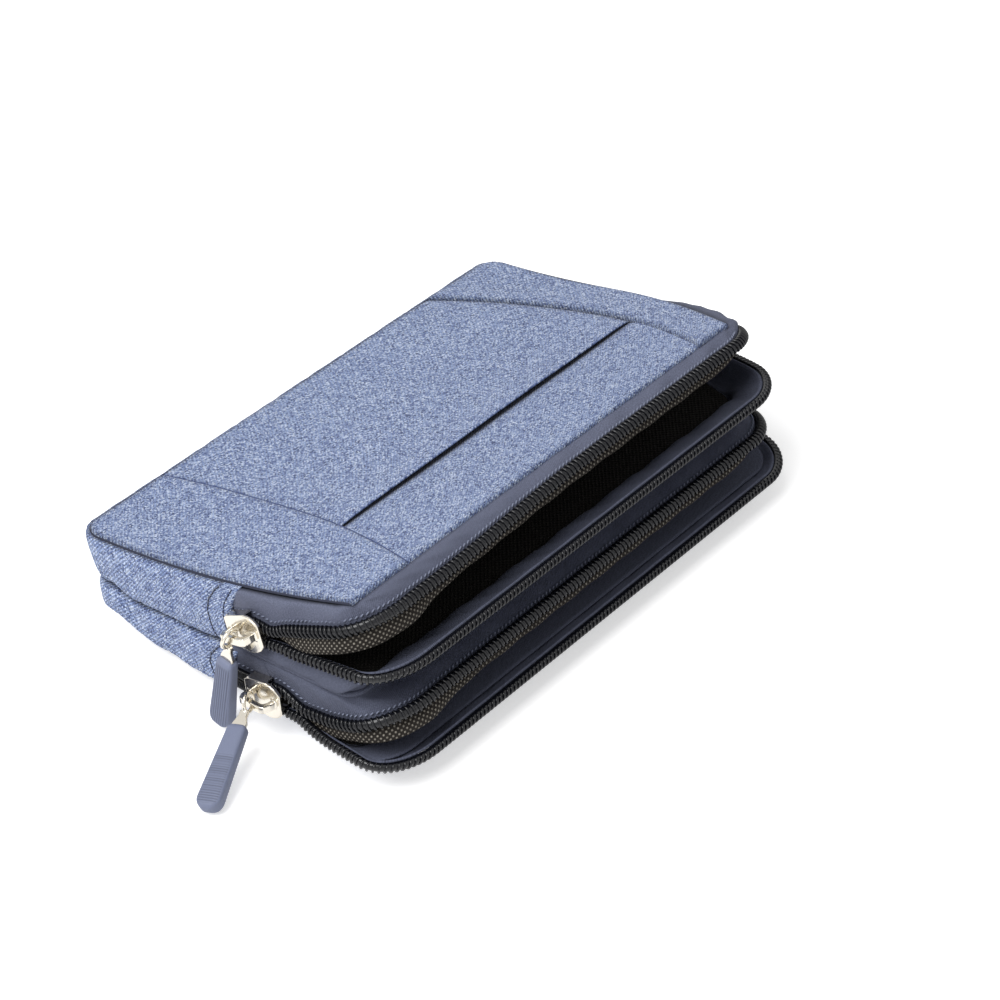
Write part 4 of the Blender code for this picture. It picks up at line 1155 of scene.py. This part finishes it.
def coil(name, lip):
    """The coil: a monofilament wound in a flattened helix on the outside of the tape's edge,
    round a dark core, with the row of stitches that holds it down.

    Behind the rear slider the turns lie close together, so that they stand evenly once the
    slider has drawn them out."""
    for label, (_, seam, _, across, outward), bend in stretches(lip):
        middle = seam + outward * COIL_OUT
        travelled = length_along(middle)
        first = np.interp(-COIL_START_Y, -middle[:60, 1], travelled[:60])
        last = travelled[-1]
        drawn = travelled
        if bend is None:
            last = last - first
        elif bend is BEFORE_SLIDER:
            first, last = 0.0, last - 2.8
        else:
            start, end = BEHIND_SLIDER[0][1], BEHIND_SLIDER[1][1]
            drawn = travelled + SLIDE_LENGTH * smooth((start - middle[:, 1]) / (start - end))
        ends = np.interp((first, last), travelled, drawn)
        turns = int((ends[1] - ends[0]) / COIL_PITCH)
        reach = np.interp(np.linspace(*ends, turns * STEPS_A_TURN + 1), drawn, travelled)
        angle = np.linspace(0.0, 2 * math.pi * turns, len(reach))
        centre = picked(reach, travelled, middle)
        side, out = (unit(picked(reach, travelled, line)) for line in (across, outward))
        size = np.interp(reach, travelled, smooth((lip.settled - seam[:, 1]) / 10.0))
        wide = mix(*COIL_WIDTH, size) / 2 - WIRE_RADIUS
        deep = mix(*COIL_DEPTH, size) / 2 - WIRE_RADIUS
        path = (centre + side * (powered(np.cos(angle), 0.8) * wide)[:, None]
                + out * (powered(np.sin(angle), 0.8) * deep)[:, None])
        forward = unit(np.gradient(path, axis=0))
        radial = unit(side * np.cos(angle)[:, None] + out * np.sin(angle)[:, None])
        radial = square_to(radial, forward)
        winding = tube_of(path, radial * WIRE_RADIUS,
                          np.cross(forward, radial) * WIRE_RADIUS, 6)
        thin = slice(None, None, STEPS_A_TURN // 2)
        core = tube_of((centre - out * 0.25)[thin], (side * wide[:, None])[thin],
                       (out * lip.side * (deep + 0.2)[:, None])[thin], 8)
        add_piece(name + "_coil_wire" + label, *joined([winding, core]), NYLON, "coil_nylon",
                  bend=bend, node=name + "_coil")
        clear = 0.45 if lip.side > 0 else 1.0
        row = centre + side * (wide + WIRE_RADIUS + clear)[:, None] - out * 1.0
        add_piece(name + "_coil_stitches" + label,
                  *stitches(row[thin], out[thin], COIL_PITCH, 1.05, 0.22, lean=0.6),
                  PALE_THREAD, "zip_tape", bend=bend)


def lining_edge(name, lip, depth):
    """The strip of knitted mesh that hangs inside an upper lip, widest near the slider.

    It ends in the far corner, 95 points before the lip does."""
    _, (_, *lines), bend = stretches(lip)[-1]
    shown = slice(int(np.argmax(lines[0][:, 1] < lip.settled - 1.0)), -95)
    seam, run, across, outward = (line[shown] for line in lines)
    away = unit(np.cross(run, UP))
    hang = unit(-0.8 * UP - 0.6 * across)
    wide = smooth((-48.0 - seam[:, 0]) / 26.0)
    wide = mix(2.2, depth, wide) * smooth((lip.settled + 2.0 - seam[:, 1]) / 13.0)
    wide = (wide * smooth((66.0 - seam[:, 0]) / 12.0) + 0.2)[:, None, None]
    share = np.linspace(0.0, 1.0, 13)[None, :, None]
    middle = (seam[:, None] - outward[:, None] * 0.5 * (1 - share)
              + across[:, None] * 0.9 * (1 - share) ** 2 + hang[:, None] * wide * share
              + away[:, None] * wide * 0.3 * np.sin(0.75 * math.pi * share))
    place = length_along(seam)[:, None, None]
    middle = middle + away[:, None] * 0.15 * np.sin(0.5 * place) * share
    half = unit(np.cross(run[:, None], np.gradient(middle, axis=1))) * 0.22
    add_shell(name + "_lining_edge", middle + half, middle - half, EDGE_KNIT, "lining",
              face=middle, bend=bend)


def piping():
    """A thin cord sewn round the divider's rim on the mouth side, covered with tape cloth."""
    radius, sides = 0.8, 12
    line = mouth_line(MIDDLE.drawn_in(0.2), divider_middle, np.linspace(0.0, 1.0, 50))
    turn = np.linspace(0.0, 5.0, sides, endpoint=False)
    uv = np.stack(np.broadcast_arrays(turn[None, :], length_along(line)[:, None]), -1)
    add_piece("divider_cord", *cord_of(line, radius, sides), TAPE_CLOTH, "zip_tape",
              node="divider_piping", uv=uv)


# Sliders and pulls

def cast_metal(node):
    """Rounds off a packed metal part as casting and plating do, and gives it its finish."""
    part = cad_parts[node]
    part.material_slots[0].material = NICKEL
    remesh = part.modifiers.new("cast", "REMESH")
    remesh.mode = "VOXEL"
    remesh.voxel_size = 0.16 * MM
    remesh.use_smooth_shade = True
    soft = part.modifiers.new("rounded", "SMOOTH")
    soft.factor, soft.iterations = 0.5, 6


def even_ring(power, aspect, count):
    """A superellipse of half width 1 and half depth 1, its points evenly spread once it is
    drawn out to the aspect."""
    turn = np.linspace(0.0, 2 * math.pi, 2001)
    y, z = powered(np.cos(turn), 2 / power), powered(np.sin(turn), 2 / power)
    travelled = length_along(np.stack([y * aspect, z], -1))
    reach = np.linspace(0.0, travelled[-1], count, endpoint=False)
    return np.interp(reach, travelled, y), np.interp(reach, travelled, z)


GRIP_START = 6.6  # from the pivot
GRIP_WIDTH, GRIP_DEPTH = (5.0, 6.7), (3.2, 4.2)  # at the start, and at the end
RIB_PITCH = 0.66
RIB_DEPTH = 0.2


def grip(name, slider, pivot, direction, end, crosswise, body, node):
    """A moulded grip: a rounded section that widens along the pull, with elliptic ends and
    ribs on its two broad faces, along it or crosswise."""
    ahead = unit(np.array(direction))
    across = square_to(slider.travel, ahead)
    through = np.cross(ahead, across)
    share = eased(120)[:, None]
    place = mix(GRIP_START, end, share)
    gone, left = place - GRIP_START, end - place

    def rounded(distance, length):
        return np.sqrt(1 - np.clip(1 - distance / length, 0, 1) ** 2)

    shoulder = mix(0.55, 1.0, rounded(gone, 1.2))
    width = mix(*GRIP_WIDTH, share) / 2 * shoulder * rounded(left, 3.3) + 0.02
    depth = mix(*GRIP_DEPTH, share) / 2 * shoulder * rounded(left, 1.6) + 0.02
    y, z = even_ring(4.0, 1.7, 180)
    wide, high = y[None, :] * width, z[None, :] * depth
    phase = (place if crosswise else wide) * 2 * math.pi / RIB_PITCH
    broad = smooth((np.abs(z) - 0.75) / 0.15)[None, :]
    limits = (smooth((gone - (8.0 if crosswise else 1.0)) / 1.5) * smooth((left - 0.6) / 1.5)
              * smooth((width - 0.25 - np.abs(wide)) / 0.3))
    groove = (0.5 + 0.5 * np.cos(phase)) ** 2 * broad * limits
    high = high - np.sign(high) * RIB_DEPTH * groove
    points = (np.array(pivot) + place[..., None] * ahead + wide[..., None] * across
              + high[..., None] * through)
    # Painted shade in the rib grooves, through the shade attribute
    add_piece(name, points.reshape(-1, 3), tube_quads(*wide.shape), GRIP_RUBBER, "pull_grip",
              node=node, body=body, shade=0.5 * groove)


# Setting

def plainly_seen(tree):
    """1 for what the camera sees, straight or by a mirror, and 0 for the light on things."""
    rays = add(tree, "ShaderNodeLightPath").outputs
    seen = math_of(tree, "MAXIMUM", rays["Is Camera Ray"], rays["Is Glossy Ray"])
    return math_of(tree, "MAXIMUM", seen, rays["Is Transmission Ray"])


def set_stage():
    """A matt, pale floor under the belt loops that shows white, and keeps the shadow."""
    reach, low = 6.0, -6.55 * MM
    made, tree = new_material("pale_floor")
    shader = tree.nodes["Principled BSDF"]
    shader.inputs["Base Color"].default_value = colour("#F4F4F4")
    shader.inputs["Roughness"].default_value = 0.9
    glow = add(tree, "ShaderNodeEmission", {0: (1.0, 1.0, 1.0, 1.0), 1: 0.5})
    dark = add(tree, "ShaderNodeEmission", {0: (0.0, 0.0, 0.0, 1.0), 1: 0.0})
    lit = add(tree, "ShaderNodeMixShader",
              {0: plainly_seen(tree), 1: dark.outputs[0], 2: glow.outputs[0]})
    both = add(tree, "ShaderNodeAddShader", {0: shader.outputs[0], 1: lit.outputs[0]})
    tree.links.new(both.outputs[0], tree.nodes["Material Output"].inputs[0])
    mesh = bpy.data.meshes.new("floor")
    mesh.from_pydata([(-reach, -reach, low), (reach, -reach, low), (reach, reach, low),
                      (-reach, reach, low)], [], [(0, 1, 2, 3)])
    mesh.materials.append(made)
    placed("floor", mesh)


def set_world():
    """A white background, which lights the pouch at less than half its brightness."""
    world = bpy.data.worlds.new("studio")
    bpy.context.scene.world = world
    world.use_nodes = True
    tree = world.node_tree
    background = tree.nodes["Background"]
    background.inputs[0].default_value = (1.0, 1.0, 1.0, 1.0)
    strength = math_of(tree, "MULTIPLY_ADD", plainly_seen(tree), 0.6, 0.4)
    tree.links.new(strength, background.inputs[1])


def area_light(name, place, size, power):
    """A square lamp that shines on the origin."""
    lamp = bpy.data.lights.new(name, "AREA")
    lamp.shape = "SQUARE"
    lamp.size = size
    lamp.energy = power
    item = placed(name, lamp)
    item.location = place
    item.rotation_euler = (-Vector(place)).to_track_quat("-Z", "Y").to_euler()


def set_camera():
    """The photograph's view, as fitted to the corners of the pouch."""
    lens = bpy.data.cameras.new("photo_view")
    lens.sensor_width = 36.0
    lens.lens = 102.78
    lens.shift_x, lens.shift_y = 0.0706, 0.0123
    lens.clip_start = 0.05
    azimuth, elevation, roll = -48.95, 38.87, -0.37
    turned = (Matrix.Rotation(math.radians(azimuth), 4, "Z")
              @ Matrix.Rotation(math.radians(90.0 - elevation), 4, "X")
              @ Matrix.Rotation(math.radians(roll), 4, "Z"))
    camera = placed("photo_view", lens)
    camera.matrix_world = Matrix.Translation((-0.43282, -0.37685, 0.46261)) @ turned
    bpy.context.scene.camera = camera


front_cover()
divider_and_back()
gusset("front_wall_cloth", FRONT_WALL, 0.95, "front_gusset")
gusset("rear_wall_cloth", REAR_WALL, 0.2, "rear_gusset")
cover_groove()
for end, side in ((-1, "near"), (1, "far")):
    end_tab("front_tab_cloth_" + side, FRONT_WALL, end, "front_end_tab_" + side)
    end_tab("rear_tab_cloth_" + side, REAR_WALL, end, "rear_end_tab_" + side)
    belt_loop("belt_strap_" + side, 38.0 * end, "belt_loop_" + side)
for name, lip in LIPS.items():
    tape(name, lip)
    coil(name, lip)
hem("back_cloth_hem", LIPS["rear_lower"])
lining_edge("front_upper", LIPS["front_upper"], 5.6)
lining_edge("rear_upper", LIPS["rear_upper"], 4.6)
piping()
for node in ("front_slider_body", "rear_slider_body", "front_pull_link", "rear_pull_link"):
    cast_metal(node)
grip("front_grip", FRONT_SLIDER, pivot=(-86.6, -13.183, 22.075), direction=(-0.03, 0.12, -0.99),
     end=28.2, crosswise=False, body="front_pull", node="front_pull_grip")
grip("rear_grip", REAR_SLIDER, pivot=(-86.6, -18.306, 5.052), direction=(-0.875, -0.365, -0.318),
     end=29.6, crosswise=True, body="rear_pull", node="rear_pull_grip")

set_stage()
set_world()
set_camera()
area_light("key_light", (-0.9, 0.1, 1.3), size=1.0, power=23.5)
area_light("fill_light", (0.2, -1.4, 0.9), size=1.2, power=1.5)
bpy.context.scene.view_settings.view_transform = "Standard"
